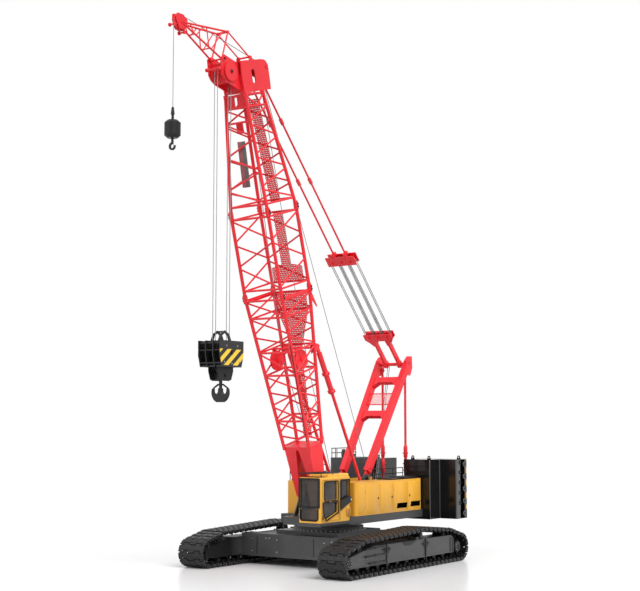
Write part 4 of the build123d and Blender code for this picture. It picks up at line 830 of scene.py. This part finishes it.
class CRANE_OT_ropes(bpy.types.Operator):
    """Adds the hoist ropes, the falls and the luffing ropes"""

    bl_idname = "crane.ropes"
    bl_label = "Ropes"

    def execute(self, context):
        radius = context.scene.crane_looks.rope_radius
        self.falls(radius)
        self.luffing(radius)
        self.hoists(radius)
        return {"FINISHED"}

    def work(self, name, body):
        """A piece of rope."""
        return Work(name, body, ["rope"], "wire_rope")

    def falls(self, radius):
        """The falls shorten towards the sheaves above them as each hook is raised."""
        low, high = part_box("main_falls")
        falls = self.work("main_fall_ropes", "main_line")
        for x in (low.x + radius, high.x - radius):
            for y in (low.y + radius, high.y - radius):
                falls.rope((x, y, low.z), (x, y, high.z), radius)
        made = falls.done(ROPE_SMOOTH)
        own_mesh(made)
        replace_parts(made, "main_falls")

        low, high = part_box("aux_line")
        line = self.work("aux_rope_line", "aux_rope")
        x, y = (low.x + high.x) / 2, (low.y + high.y) / 2
        line.rope((x, y, low.z), (x, y, high.z), radius)
        made = line.done(ROPE_SMOOTH)
        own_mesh(made)
        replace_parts(made, "aux_line")

    def luffing(self, radius):
        """The ropes between the bridle and the gantry's sheaves, in two halves that slide past each other."""
        wheel_radius, gap, thin = 0.2 - radius, 0.05, radius * 0.65
        for name, body, first, last, shift in (
            ("luffing_ropes_upper", "suspension", BRIDLE_SHEAVES, GANTRY_SHEAVES - gap, -radius),
            ("luffing_ropes_lower", "luffing_sheaves", BRIDLE_SHEAVES + gap, GANTRY_SHEAVES, 1.1 * radius),
        ):
            ropes = self.work(name, body)
            for row in SHEAVE_ROWS:
                for side in SIDES:
                    for lane in (-0.045, 0.045):
                        across = X_AXIS * (row + side * wheel_radius)
                        place = PENDANT_PIN + across + SUSPENSION_SIDE * (shift + lane)
                        ropes.rope(place + SUSPENSION * first, place + SUSPENSION * last, thin)
            ropes.done(ROPE_SMOOTH)

    def hoists(self, radius):
        """Ropes from the winches up to the head, and from the luffing winch to the gantry."""
        lay, head_wheel, tip_wheel = 0.12, 0.29, 0.30
        drum_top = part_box("winches")[1].z - 0.12
        aux_x, main_x, guide_x = 0.067, 0.25, 0.56

        line = self.work("aux_hoist_rope", None)
        start = on_machine(-aux_x, REAR_DRUM, drum_top)
        end = REAR_AXLE + BACK * head_wheel - X_AXIS * aux_x
        line.rope(start, end, radius, lay)
        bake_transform(line.done(ROPE_SMOOTH))

        above = X_AXIS.cross((REAR_AXLE - JIB_TIP).normalized())
        line = self.work("jib_rope", "boom")
        line.rope(JIB_TIP + above * tip_wheel, REAR_AXLE + above * head_wheel, radius, lay)
        line.done(ROPE_SMOOTH)

        guide = on_boom(0.0, 0.0, 5.57) + BACK * 0.38
        line = self.work("main_hoist_rope_upper", "boom")
        for side in (1, -1):
            top = on_boom(side * 0.30, 0.70, HEAD_START + 0.83)
            line.rope(guide + X_AXIS * (side * guide_x), top, radius, lay)
        line.done(ROPE_SMOOTH)
        for side, name in ((1, "left"), (-1, "right")):
            line = self.work("main_hoist_rope_" + name, None)
            start = on_machine(side * main_x, FRONT_DRUM, drum_top - 0.02)
            end = guide + X_AXIS * side * guide_x
            line.rope(start, end, radius, lay)
            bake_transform(line.done(ROPE_SMOOTH))

        line = self.work("luffing_rope_tail", "upperworks")
        for x in (-0.30, -0.22):
            foot = on_machine(x, REAR_DRUM + 0.34, 2.33)
            line.rope(foot, GANTRY_PIN + Vector((x, 0.085, -0.05)), radius, lay)
        line.done(ROPE_SMOOTH)


class CRANE_OT_tracks(bpy.types.Operator):
    """Replaces each plain track with hinged cast shoes"""

    bl_idname = "crane.tracks"
    bl_label = "Tracks"

    def execute(self, context):
        places, pitch = belt(track_wheels(), context.scene.crane_looks.grousers)
        for name in ("left", "right"):
            low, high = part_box("track_" + name)
            middle, half_width = (low.x + high.x) / 2, (high.x - low.x) / 2
            shoe = self.shoe(pitch, half_width)
            track = Work("track_shoes_" + name, "undercarriage", ["track", "steel"], "track_steel")
            for (y, z), along in places:
                ahead = Vector((0, along.x, along.y))
                outward = Vector((0, along.y, -along.x))
                turn = Matrix((-X_AXIS, ahead, outward)).transposed().to_4x4()
                track.stamp(shoe, Matrix.Translation((middle, y, z)) @ turn)
            bpy.data.meshes.remove(shoe)
            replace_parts(track.done(), "track_" + name)
        return {"FINISHED"}

    def shoe(self, pitch, half_width):
        """One shoe at the origin: across X, ahead along Y, its face at the top."""
        shoe = Work("shoe", None, ["track", "steel"])

        def block(across, ahead, up, bevel):
            """A cast block between pairs of places."""
            low, high = zip(across, ahead, up)
            shoe.box(low, high, bevel, segments=1)

        def both(middle, half):
            return middle - half, middle + half

        block(both(0, half_width), both(0, 0.29 * pitch), (-0.11, -0.012), 0.022)
        block(both(0, 0.19), both(0, 0.44 * pitch), (-0.19, -0.10), 0.012)
        front_fingers = ((-0.60, -0.45), (-0.14, 0.14), (0.45, 0.60))
        rear_fingers = ((-0.42, -0.18), (0.18, 0.42))
        for way, fingers in ((1, front_fingers), (-1, rear_fingers)):
            for finger in fingers:
                block(finger, sorted((way * 0.25 * pitch, way * 0.52 * pitch)), (-0.09, -0.032), 0.014)
        for knob in (-0.45, -0.15, 0.15, 0.45):
            block(both(knob, 0.06), both(0, 0.030), (-0.02, 0), 0.008)
        for side in SIDES:
            block(both(side * 0.235, 0.03), both(0, 0.06), (-0.225, -0.10), 0.012)
            block(both(side * 0.535, 0.055), both(0, 0.30 * pitch), (-0.155, -0.08), 0.012)

        pin_y, pin_z, knuckle = pitch / 2, -0.105, 0.036
        front = ((-half_width + 0.07, -0.42), (-0.13, 0.13), (0.42, half_width - 0.07))
        rear = ((-0.40, -0.15), (0.15, 0.40))
        for y, knuckles in ((pin_y, front), (-pin_y, rear)):
            for start, end in knuckles:
                shoe.rod((start, y, pin_z), (end, y, pin_z), knuckle, 10)
        shoe.use("steel")
        for side in SIDES:
            start, end = (side * (half_width - inset) for inset in (0.08, 0.05))
            shoe.rod((start, pin_y, pin_z), (end, pin_y, pin_z), 0.02, 8)
        return shoe.shape()


class CRANE_OT_undercarriage(bpy.types.Operator):
    """Adds steps, brackets, covers and bolts to the track frames and the carbody"""

    bl_idname = "crane.undercarriage"
    bl_label = "Undercarriage fittings"

    def execute(self, context):
        self.frames()
        self.carbody()
        return {"FINISHED"}

    def frames(self):
        """The left frame's fittings, mirrored to the right one."""
        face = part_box("track_frame_left")[1].x
        side = on_face(face)
        work = Work("track_frame_fittings", "undercarriage", ["grey", "black", "steel"], "grey_paint")

        work.use("grey").box(side(-4.02, 0.365, -0.01), side(3.44, 0.40, 0.018), 0.006)
        for y in (3.22, 3.40):
            work.box(side(y - 0.03, 0.42, -0.01), side(y + 0.03, 0.94, 0.03), 0.008)
        work.box(side(-3.95, 0.60, -0.01), side(-2.35, 0.66, 0.012), 0.004)

        work.use("black")
        for y in (-1.52, 1.28):
            work.box(side(y - 0.035, 0.26, -0.01), side(y + 0.035, 1.08, 0.035), 0.008)
            for way in SIDES:
                arc = [side(y + way * (0.04 + 0.13 * math.sin(math.pi * share)), 0.98 - 0.26 * share, 0.03)
                       for share in (0, 0.25, 0.5, 0.75, 1)]
                work.rail(arc, 0.014, 6)
                start, end = y + way * 0.05 - 0.012, y + way * 0.30 + 0.012
                work.box(side(start, 0.84), side(end, 0.90, 0.02), 0.006)

        for z, start in ((0.47, -2.75), (0.72, -3.0), (0.98, -3.0)):
            work.box(side(start, z - 0.02, 0.07), side(-1.68, z + 0.02, 0.10), 0.006)
            for y in (start + 0.05, -2.35, -1.75):
                work.box(side(y - 0.02, z - 0.03, -0.005), side(y + 0.02, z + 0.03, 0.08), 0.004)
        plate = ((-0.44, 1.035), (-0.19, 0.89), (0.24, 0.89), (0.58, 1.035))
        work.slab(placed(plate, side, 0.003), (0.012, 0, 0))

        for node, reach, count in (("idlers", 0.15, 8), ("drive_sprockets", 0.19, 12)):
            low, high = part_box(node)
            middle = Vector((face, (low.y + high.y) / 2, (low.z + high.z) / 2))
            cap = ((0.0, 0.045), (reach * 0.55, 0.045), (reach * 0.62, 0.03), (reach, 0.03),
                   (reach + 0.02, 0.012), (reach + 0.02, 0.0))
            work.use("black").turned(cap, middle, X_AXIS)
            work.use("steel")
            for y, z in circle(count, reach * 0.82):
                work.nut(middle + Vector((0.03, y, z)), X_AXIS, 0.013, 0.012)
        work.mirrored().done()

    def carbody(self):
        """Edges and bolts of the front plate, and the nuts round the slewing ring."""
        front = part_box("carbody")[0].y
        work = Work("carbody_fittings", "undercarriage", ["black", "steel"], "grey_paint")
        for x in (-2.05, 0.62, 2.05):
            work.box((x - 0.02, front - 0.008, 0.42), (x + 0.02, front + 0.01, 1.10), 0.006)
        work.use("steel")
        for x in (-2.3, -1.1, 1.1, 1.9, 2.3):
            for z in (0.52, 0.98):
                work.nut((x, front, z), -Y_AXIS, 0.022, 0.02)
        for x in (-1.62, -1.45, 1.45, 1.62):
            work.nut((x, front, 1.02), -Y_AXIS, 0.03, 0.025)
        low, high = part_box("slew_ring")
        for x, y in circle(48, (high.x - low.x) / 2 * 1.05):
            work.nut(on_machine(x, y, low.z), Z_AXIS, 0.022, 0.03)
        work.done()


class CRANE_OT_cab(bpy.types.Operator):
    """Adds seals, handles, the lamp, the louvre, wipers and mounts to the operator's cab"""

    bl_idname = "crane.cab"
    bl_label = "Cab fittings"

    def execute(self, context):
        low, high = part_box("cab_shell")
        side = on_face(min(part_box("cab_door")[1].x, high.x))
        self.front(lambda x, z, out=0.0: Vector((x, low.y - out, z)))
        self.flank(side)
        self.door(side)
        self.roof(high.z)
        self.mounts()
        return {"FINISHED"}

    def front(self, face):
        """Frames round the windscreen's panes, and the wiper."""
        work = Work("windscreen_frame", "upperworks", ["seal", "gloss_black"], "black_gloss")
        outer = rounded((0.685, 2.325), (1.648, 3.420), 0.05)
        inner = rounded((0.775, 2.395), (1.545, 3.340), 0.04)
        work.use("gloss_black").ring(placed(outer, face), placed(inner, face), (0, -0.014, 0))
        outer = rounded((0.735, 1.852), (1.585, 2.325), 0.02, 0.13)
        inner = rounded((0.780, 1.902), (1.540, 2.318), 0.02, 0.11)
        work.use("seal").ring(placed(outer, face), placed(inner, face), (0, -0.010, 0))
        hub = face(1.16, 2.375, 0.02)
        work.bar(hub, Y_AXIS * -0.02, 0.022)
        work.rail([hub, face(1.04, 2.97, 0.028)], 0.007)
        work.rail(placed(((1.02, 2.72), (1.02, 3.22)), face, 0.02), 0.008)
        work.done()

    def flank(self, side):
        """The fixed side window's seal, the sloped panel, the lamp, the louvre and the rear pillar's seam."""
        work = Work("cab_side_trim", "upperworks", ["seal", "black", "yellow", "lens", "grey"], "black_paint")
        glass = ((-1.61, 2.60), (-1.11, 2.735), (-1.11, 3.285), (-1.61, 3.285))
        work.ring(placed(widened(glass, 0.055), side), placed(glass, side), (0.010, 0, 0))
        panel = ((-1.675, 2.19), (-0.985, 2.49), (-0.985, 2.70), (-1.675, 2.56))
        work.use("black").slab(placed(panel, side), (0.012, 0, 0))
        work.use("lens").ball(side(-0.99, 2.565, 0.01), 0.032)
        work.use("yellow").box(side(-1.235, 1.975, -0.004), side(-1.025, 2.265, 0.006), 0.004)
        work.use("black")
        for slat in range(7):
            z = 2.005 + slat * 0.036
            work.box(side(-1.205, z), side(-1.055, z + 0.016, 0.012), 0.003)
        corner = ((-0.945, 1.785), (-0.945, 1.955), (-1.10, 1.785))
        work.use("grey").slab(placed(corner, side, 0.001), (0.008, 0, 0))
        work.use("seal").box(side(-1.704, 1.86), side(-1.696, 3.36, 0.004))
        work.done()

    def door(self, side):
        """Seals of the door and its two windows, the handle and the pocket."""
        work = Work("door_trim", "door", ["seal", "black", "steel"], "black_paint")
        window = rounded((-2.70, 2.60), (-1.84, 3.27), 0.05)
        low_window = ((-2.78, 2.50), (-2.74, 2.06), (-2.58, 1.91), (-1.84, 2.16), (-1.84, 2.50))
        for pane, width in ((window, 0.042), (low_window, 0.05)):
            work.ring(placed(widened(pane, width), side), placed(pane, side), (0.009, 0, 0))
        rim = rounded((-2.866, 1.854), (-1.752, 3.336), 0.03)
        work.ring(placed(rim, side), placed(widened(rim, -0.008), side), (0.003, 0, 0))
        work.use("black").box(side(-2.46, 2.525, -0.002), side(-2.28, 2.575, 0.006), 0.004)
        work.use("steel").box(side(-2.44, 2.538, 0.012), side(-2.30, 2.562, 0.026), 0.006)
        for y in (-2.43, -2.31):
            work.rod(side(y, 2.55), side(y, 2.55, 0.02), 0.007, 8)
        pocket = rounded((-2.842, 1.90), (-2.795, 2.05), 0.022)
        work.use("black").slab(placed(pocket, side), (0.007, 0, 0))
        work.done()

    def roof(self, top):
        """The raised middle of the roof, with its hatch."""
        work = Work("cab_roof_dome", "upperworks", ["yellow", "black"], "yellow_paint")
        work.box(on_machine(0.71, -2.36, top - 0.05), on_machine(1.62, -0.98, top + 0.115), 0.075, segments=5)
        work.use("black").box(on_machine(0.86, -2.86, top - 0.02), on_machine(1.50, -2.44, top + 0.02), 0.012)
        work.done()

    def mounts(self):
        """Rubber feet, the front sill and the step's treads below the floor."""
        work = Work("cab_mounts", "upperworks", ["black", "grey", "seal"], "black_paint")
        rubber = ((0.0, 1.70), (0.055, 1.70), (0.07, 1.735), (0.055, 1.79), (0.0, 1.79))
        work.use("seal")
        for y in (-2.78, -2.42, -2.06, -1.70, -1.30):
            for x in (0.80, 1.52):
                work.turned(rubber, on_machine(x, y, 0), Z_AXIS, 16)
        work.use("grey").box(on_machine(0.68, -2.97, 1.655), on_machine(1.66, -2.90, 1.705), 0.008)
        work.use("black")
        for tread in range(9):
            y = -2.86 + tread * 0.20
            work.box(on_machine(1.60, y, 1.66), on_machine(1.70, y + 0.15, 1.69), 0.006)
        work.done()


class CRANE_OT_houses(bpy.types.Operator):
    """Adds doors, louvres, latches, blank bands and roof fittings to the machinery houses"""

    bl_idname = "crane.houses"
    bl_label = "House fittings"

    def execute(self, context):
        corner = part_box("house_left")[1]
        self.doors(on_face(corner.x))
        self.roofs(corner.z)
        return {"FINISHED"}

    def doors(self, side):
        """The left house's doors with hinges, latches and blank bands, mirrored to the right house."""
        gap, plate = 0.008, 0.009
        work = Work("house_doors", "upperworks", ["yellow", "black", "steel", "recess"], "yellow_paint")
        seams = (-0.42, 0.09, 1.14, 2.15, 3.24, 4.19)
        for start, end in zip(seams, seams[1:]):
            work.use("yellow").box(side(start + gap, 1.945, -0.006), side(end - gap, 3.075, 0.010), 0.008)
            work.use("steel")
            for z in (2.20, 2.82):
                work.rod(side(end - 0.03, z - 0.05, 0.014), side(end - 0.03, z + 0.05, 0.014), 0.009, 8)
        work.use("black")
        for y in (0.98, 2.0, 3.34):
            latch = ((y - 0.045, 2.53), (y, 2.465), (y + 0.04, 2.50), (y + 0.045, 2.57))
            work.slab(placed(latch, side, plate), (0.012, 0, 0))
        work.use("recess")
        for start, end, z in ((2.38, 3.14, 2.05), (3.43, 4.17, 2.07)):
            band = ((start - 0.03, z), (end - 0.03, z), (end + 0.03, z + 0.20), (start + 0.03, z + 0.20))
            work.slab(placed(band, side, plate), (0.006, 0, 0))
        work.mirrored().done()

    def roofs(self, top):
        """Hatches on both roofs, and the engine hood's louvres and exhaust."""
        work = Work("house_roof_fittings", "upperworks", ["black", "grey", "iron"], "black_paint")
        for start, end, height in ((2.15, 2.9, 0.06), (3.0, 4.1, 0.10)):
            lid = top + height
            work.use("black").box(on_machine(0.86, start, top - 0.01), on_machine(1.56, end, lid), 0.02)
            work.use("iron")
            work.box(on_machine(1.17, start + 0.1, lid), on_machine(1.27, start + 0.28, lid + 0.02), 0.006)
        work.use("grey")
        for start, end in ((-0.35, 0.9), (1.0, 2.3)):
            work.box(on_machine(-1.56, start, top - 0.01), on_machine(-0.86, end, top + 0.08), 0.02)

        low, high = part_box("engine_hood")
        work.use("black")
        for row in range(9):
            z = low.z + 0.18 + row * 0.065
            work.box((low.x - 0.012, low.y + 0.25, z), (low.x + 0.01, high.y - 0.25, z + 0.03), 0.004)
        exhaust = Vector((-1.25, low.y + 0.45, high.z))
        work.use("iron").rod(exhaust - Z_AXIS * 0.02, exhaust + Z_AXIS * 0.34, 0.075, 20)
        shield = ((0.075, 0.0), (0.10, 0.02), (0.10, 0.22), (0.075, 0.24))
        work.turned(shield, exhaust + Z_AXIS * 0.02, Z_AXIS, 20)
        work.done()


class CRANE_OT_winches(bpy.types.Operator):
    """Winds the rope on the winch drums and bolts their cheeks"""

    bl_idname = "crane.winches"
    bl_label = "Winches"

    def execute(self, context):
        radius = context.scene.crane_looks.rope_radius
        drum, half_width, middle_z = 0.33, 0.375, 2.33
        turns = round(2 * half_width / (2.1 * radius))
        step = 2 * half_width / turns
        wave = ((0, 0.002), (0.2, radius), (0.5, 1.6 * radius), (0.8, radius))
        outline = [(drum - 0.01, -half_width)]
        for turn in range(turns):
            outline += [(drum + height, (turn + share) * step - half_width) for share, height in wave]
        outline += [(drum + 0.002, half_width), (drum - 0.01, half_width)]
        for y, name in ((FRONT_DRUM, "front"), (REAR_DRUM, "rear")):
            work = Work("wound_rope_" + name, "upperworks", ["rope", "steel"], "wire_rope")
            work.turned(outline, on_machine(0, y, middle_z), X_AXIS, 36)
            work.use("steel")
            for back, up in circle(8, 0.16):
                work.nuts(on_machine(0, y + back, middle_z + up), 0.42, 0.016, 0.018)
            work.done(50)
        return {"FINISHED"}


class CRANE_OT_counterweight(bpy.types.Operator):
    """Adds the edge strips, black channels and lashing rings of the counterweight"""

    bl_idname = "crane.counterweight"
    bl_label = "Counterweight fittings"

    def execute(self, context):
        low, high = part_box("counterweight_stack_left")
        work = Work("counterweight_fittings", "upperworks", ["light_grey", "black", "recess"], "grey_paint")
        foot, top, face = low.z - 0.31, high.z - 0.16, 2.78
        # the middle strip is dead black: painted shade of the channel between the light grey edges
        strips = ((5.205, 5.54, "light_grey"), (5.55, 5.91, "recess"), (5.92, 5.955, "light_grey"))
        for start, end, paint in strips:
            work.use(paint)
            work.box(on_machine(face - 0.02, start, foot), on_machine(face + 0.005, end, top), 0.004)
        work.use("light_grey")
        for x, y in ((1.985, 4.415), (2.005, 5.195), (2.765, 5.215)):
            work.box(on_machine(x - 0.02, y - 0.02, foot), on_machine(x + 0.02, y + 0.02, top), 0.008)
        section = ((0.045, 0.0), (0.07, 0.02), (0.095, 0.0), (0.07, -0.02), (0.045, 0.0))
        for number in range(5):
            middle = on_machine(high.x + 0.012, 5.73, foot + 0.20 + 0.50 * number)
            work.use("light_grey").turned(section, middle, X_AXIS, 20)
            work.use("black").rod(middle - X_AXIS * 0.01, middle + X_AXIS * 0.03, 0.03)
        work.mirrored().done()
        return {"FINISHED"}


class CRANE_OT_boom(bpy.types.Operator):
    """Adds pins, the wiring, nuts, rollers and the inner boxes to the boom, head and jib"""

    bl_idname = "crane.boom"
    bl_label = "Boom fittings"

    def execute(self, context):
        self.joints()
        self.wiring()
        self.head()
        self.inner_boxes()
        return {"FINISHED"}

    def inner_boxes(self):
        """Two blank plates and a small red box inside the top section."""
        work = Work("boom_inner_boxes", "boom", ["faded", "pale", "red"], "grey_paint")
        upright = Matrix.Rotation(math.pi / 2 - BOOM_LEAN, 4, "X")
        leaning = upright @ Matrix.Rotation(math.radians(3.5), 4, "Y")
        for paint, middle, half, turn in (
            ("faded", (-0.14, -0.60, 13.08), (0.10, 0.05, 0.84), leaning),
            ("pale", (0.01, -0.60, 13.08), (0.05, 0.05, 0.84), leaning),
            ("red", (-0.06, -0.50, 14.42), (0.13, 0.05, 0.22), upright),
        ):
            middle, half = on_boom(*middle), Vector(half)
            work.use(paint).box(middle - half, middle + half, 0.01, turn=turn)
        work.done()

    def joints(self):
        """Pins through the collars where the sections meet."""
        work = Work("boom_joint_pins", "boom", ["steel", "black"], "bare_steel")
        half_width, half_depth = 0.85, 0.90
        for along in SECTION_JOINTS:
            for side in SIDES:
                for face in SIDES:
                    for shift in (-0.05, 0.05):
                        spot = on_boom(side * half_width, face * half_depth, along + shift)
                        reach = X_AXIS * (0.11 * side)
                        work.use("steel").bar(spot, reach, 0.026)
                        work.use("black").nut(spot + reach, X_AXIS * side, 0.034, 0.012)
        work.done()

    def wiring(self):
        """The power lead for the head's lamps, clipped to a chord."""
        work = Work("boom_wiring", "boom", ["seal", "black"], "black_paint")
        route = [on_boom(0.79, -0.80, 2.6), on_boom(0.79, -0.81, 11.2), on_boom(0.42, -0.45, 15.3)]
        work.rail(route, 0.012)
        work.use("black")
        for clip in range(14):
            work.bar(on_boom(0.80, -0.82, 2.9 + clip * 0.6), ALONG * 0.02, 0.024, 8)
        work.done()

    def head(self):
        """Nuts on the shafts of the head and jib, rollers that lead the ropes, and the jib tip's cheeks."""
        work = Work("head_fittings", "boom", ["black", "red"], "bare_steel")
        shafts = (
            (on_boom(0, -1.03, HEAD_START + 0.79), 0.40, 0.055),
            (REAR_AXLE, 0.38, 0.05),
            (on_boom(0, -1.27, HEAD_START + 1.27), 0.38, 0.036),
            (PENDANT_PIN, 0.42, 0.036),
        )
        for middle, reach, radius in shafts:
            work.nuts(middle, reach, radius, 0.035)
        work.use("red")
        rollers = (
            (JIB_TIP - BACK * 0.40 - ALONG * 0.05, 0.12),
            (JIB_TIP + BACK * 0.02 - ALONG * 0.36, 0.12),
            (on_boom(0, -1.56, HEAD_START + 0.96), 0.30),
        )
        for middle, reach in rollers:
            work.bar(middle, X_AXIS * reach, 0.035)
            for side in SIDES:
                work.bar(middle + X_AXIS * (side * reach), X_AXIS * 0.02, 0.07, 16)
        cheek = ((0.28, 0.02), (0.27, 0.24), (0.20, 0.28), (-0.10, 0.28), (-0.24, 0.12), (-0.17, -0.2),
                 (0.12, -0.27))
        for x in (-0.105, 0.085):
            work.slab([JIB_TIP + Vector((x, -forward, up)) for forward, up in cheek], (0.02, 0, 0))
        work.done()


class CRANE_OT_gantry(bpy.types.Operator):
    """Adds the mesh guard, nuts and pins of the gantry and the suspension"""

    bl_idname = "crane.gantry"
    bl_label = "Gantry fittings"

    def execute(self, context):
        self.mesh_guard()
        self.gantry_nuts()
        self.stay_ends()
        self.sheave_nuts()
        self.backstop_collars()
        return {"FINISHED"}

    def mesh_guard(self):
        """Wire mesh in a frame between the gantry's legs."""
        foot = on_machine(0, *GANTRY_FOOT)
        up = (GANTRY_PIN - foot).normalized()
        work = Work("gantry_mesh_guard", "upperworks", ["red"], "red_paint")
        half, low, high = 0.56, 3.55, 4.10
        columns, rows, wire = 24, 12, 0.005

        def spot(x, along):
            return foot + X_AXIS * x + up * along

        corners = ((-half, low), (half, low), (half, high), (-half, high), (-half, low))
        work.rail([spot(*corner) for corner in corners], 0.022)
        for column in range(1, columns):
            x = -half + 2 * half * column / columns
            work.rod(spot(x, low), spot(x, high), wire, 5)
        for row in range(1, rows):
            along = low + (high - low) * row / rows
            work.rod(spot(-half, along), spot(half, along), wire, 5)
        work.done()

    def gantry_nuts(self):
        """Nuts on the pins at the gantry's feet and head and at the stays' feet."""
        work = Work("gantry_nuts", "upperworks", ["black"], "bare_steel")
        for pin in (GANTRY_FOOT, STAY_FOOT):
            work.nuts(on_machine(0, *pin), 0.68, 0.05, 0.03)
        work.nuts(GANTRY_PIN, 0.765, 0.06, 0.035)
        work.done()

    def stay_ends(self):
        """Screwed sleeves at the feet of the back stays, with their cross pins."""
        work = Work("back_stay_ends", "upperworks", ["red", "black"], "red_paint")
        stay = on_machine(0.56, STAY_FOOT[0], 0)
        sleeve = ((0.05, 3.28), (0.085, 3.36), (0.085, 3.86), (0.065, 3.90), (0.065, 3.98), (0.085, 4.02),
                  (0.085, 4.40), (0.05, 4.52))
        work.turned(sleeve, stay, Z_AXIS, 20)
        for z in (3.45, 3.72, 4.16):
            work.use("black").nut(stay + Vector((0.08, 0, z)), X_AXIS, 0.03, 0.02)
            work.use("red").rod(stay + Vector((-0.14, 0, z)), stay + Vector((0.10, 0, z)), 0.022)
        work.mirrored().done()

    def sheave_nuts(self):
        """Nuts on the axles of the luffing sheaves."""
        for along, body, name in ((BRIDLE_SHEAVES, "suspension", "bridle_nuts"),
                                  (GANTRY_SHEAVES, "luffing_sheaves", "sheave_frame_nuts")):
            work = Work(name, body, ["red"], "red_paint")
            for x in SHEAVE_ROWS:
                for side in SIDES:
                    out = SUSPENSION_SIDE * side
                    spot = PENDANT_PIN + SUSPENSION * along + X_AXIS * x + out * 0.122
                    work.nut(spot, out, 0.055, 0.05)
            work.done()

    def backstop_collars(self):
        """Clamped collars round the backstops' tubes, mirrored to the right one."""
        start = joint_at("backstop_pivot") + X_AXIS * 0.69
        down = Vector(JOINTS["backstop_slide"]["axis"])
        work = Work("backstop_collars", "backstop_tube_pair", ["red"], "red_paint")
        collar = ((0.10, -0.06), (0.125, -0.06), (0.15, -0.035), (0.15, 0.035), (0.125, 0.06), (0.10, 0.06))
        for along in (1.20, 1.96):
            middle = start + down * along
            work.turned(collar, middle, down, 24)
            for side in SIDES:
                work.bar(middle + X_AXIS * (0.15 * side), X_AXIS * 0.03, 0.025, 10)
        work.mirrored().done()


class CRANE_OT_hooks(bpy.types.Operator):
    """Adds latches to the double hook, and guards, straps and bolts to its block"""

    bl_idname = "crane.hooks"
    bl_label = "Hook fittings"

    def execute(self, context):
        self.latches()
        self.block()
        return {"FINISHED"}

    def latches(self):
        """A sprung latch over each throat of the double hook."""
        low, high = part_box("main_hook")
        middle_y = (low.y + high.y) / 2
        work = Work("main_hook_latches", "main_hook_forging", ["black"], "bare_steel")
        for side in SIDES:
            hinge, tip = Vector((side * 0.085, middle_y, 6.79)), Vector((side * 0.315, middle_y, 6.655))
            for shift in (-0.045, 0.045):
                work.rail([hinge + Y_AXIS * shift, tip + Y_AXIS * shift * 0.6], 0.018)
            work.bar(tip, Y_AXIS * 0.04, 0.013, 8)
            work.bar(hinge, Y_AXIS * 0.07, 0.015, 10)
        work.done()

    def block(self):
        """Spacers between the block's cheeks, the straps that hold its trunnion, and nuts."""
        low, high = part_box("hook_block")
        middle = Vector((0, HEAD_AXLE.y, 0))
        work = Work("hook_block_bolts", "main_block", ["black", "steel"], "bare_steel")
        for side in SIDES:
            for y, z in ((0.58, 8.20), (0.60, 7.96), (0.54, 7.52)):
                spot = middle + Vector((0, side * y, z))
                work.rod(spot + X_AXIS * (low.x + 0.02), spot + X_AXIS * (high.x - 0.02), 0.032)
        strap = ((-0.42, 7.395), (-0.42, 7.24), (-0.31, 6.93), (0.31, 6.93), (0.42, 7.24), (0.42, 7.395))
        for x in (-0.225, 0.192):
            work.slab([middle + Vector((x, y, z)) for y, z in strap], (0.033, 0, 0))
        work.nuts(middle + Z_AXIS * 7.08, 0.222, 0.06, 0.03)
        work.nuts(middle + Z_AXIS * 7.90, high.x, 0.07, 0.035)
        work.use("steel")
        for y, z in ((-0.30, 8.12), (0.30, 8.12), (-0.42, 7.55), (0.42, 7.55), (0.0, 7.50)):
            work.nuts(middle + Vector((0, y, z)), high.x, 0.024, 0.02)
        work.done()


class CRANE_PT_panel(bpy.types.Panel):
    """Lists the steps of the crane's dressing and its sizes and colours"""

    bl_label = "Crawler crane"
    bl_idname = "CRANE_PT_panel"
    bl_space_type = "VIEW_3D"
    bl_region_type = "UI"
    bl_category = "Crane"

    def draw(self, context):
        looks = context.scene.crane_looks
        for name in CraneLooks.__annotations__:
            self.layout.prop(looks, name)
        for step in STEPS:
            self.layout.operator(step.bl_idname)


STEPS = (
    CRANE_OT_finishes, CRANE_OT_stage, CRANE_OT_ropes, CRANE_OT_tracks, CRANE_OT_undercarriage, CRANE_OT_cab,
    CRANE_OT_houses, CRANE_OT_winches, CRANE_OT_counterweight, CRANE_OT_boom, CRANE_OT_gantry, CRANE_OT_hooks,
)
CLASSES = (CraneLooks, *STEPS, CRANE_PT_panel)


def register():
    for part in CLASSES:
        bpy.utils.register_class(part)
    bpy.types.Scene.crane_looks = PointerProperty(type=CraneLooks)


def unregister():
    del bpy.types.Scene.crane_looks
    for part in reversed(CLASSES):
        bpy.utils.unregister_class(part)


def main():
    """Runs every step."""
    register()
    for step in STEPS:
        group, name = step.bl_idname.split(".")
        getattr(getattr(bpy.ops, group), name)()


if __name__ == "__main__":
    main()
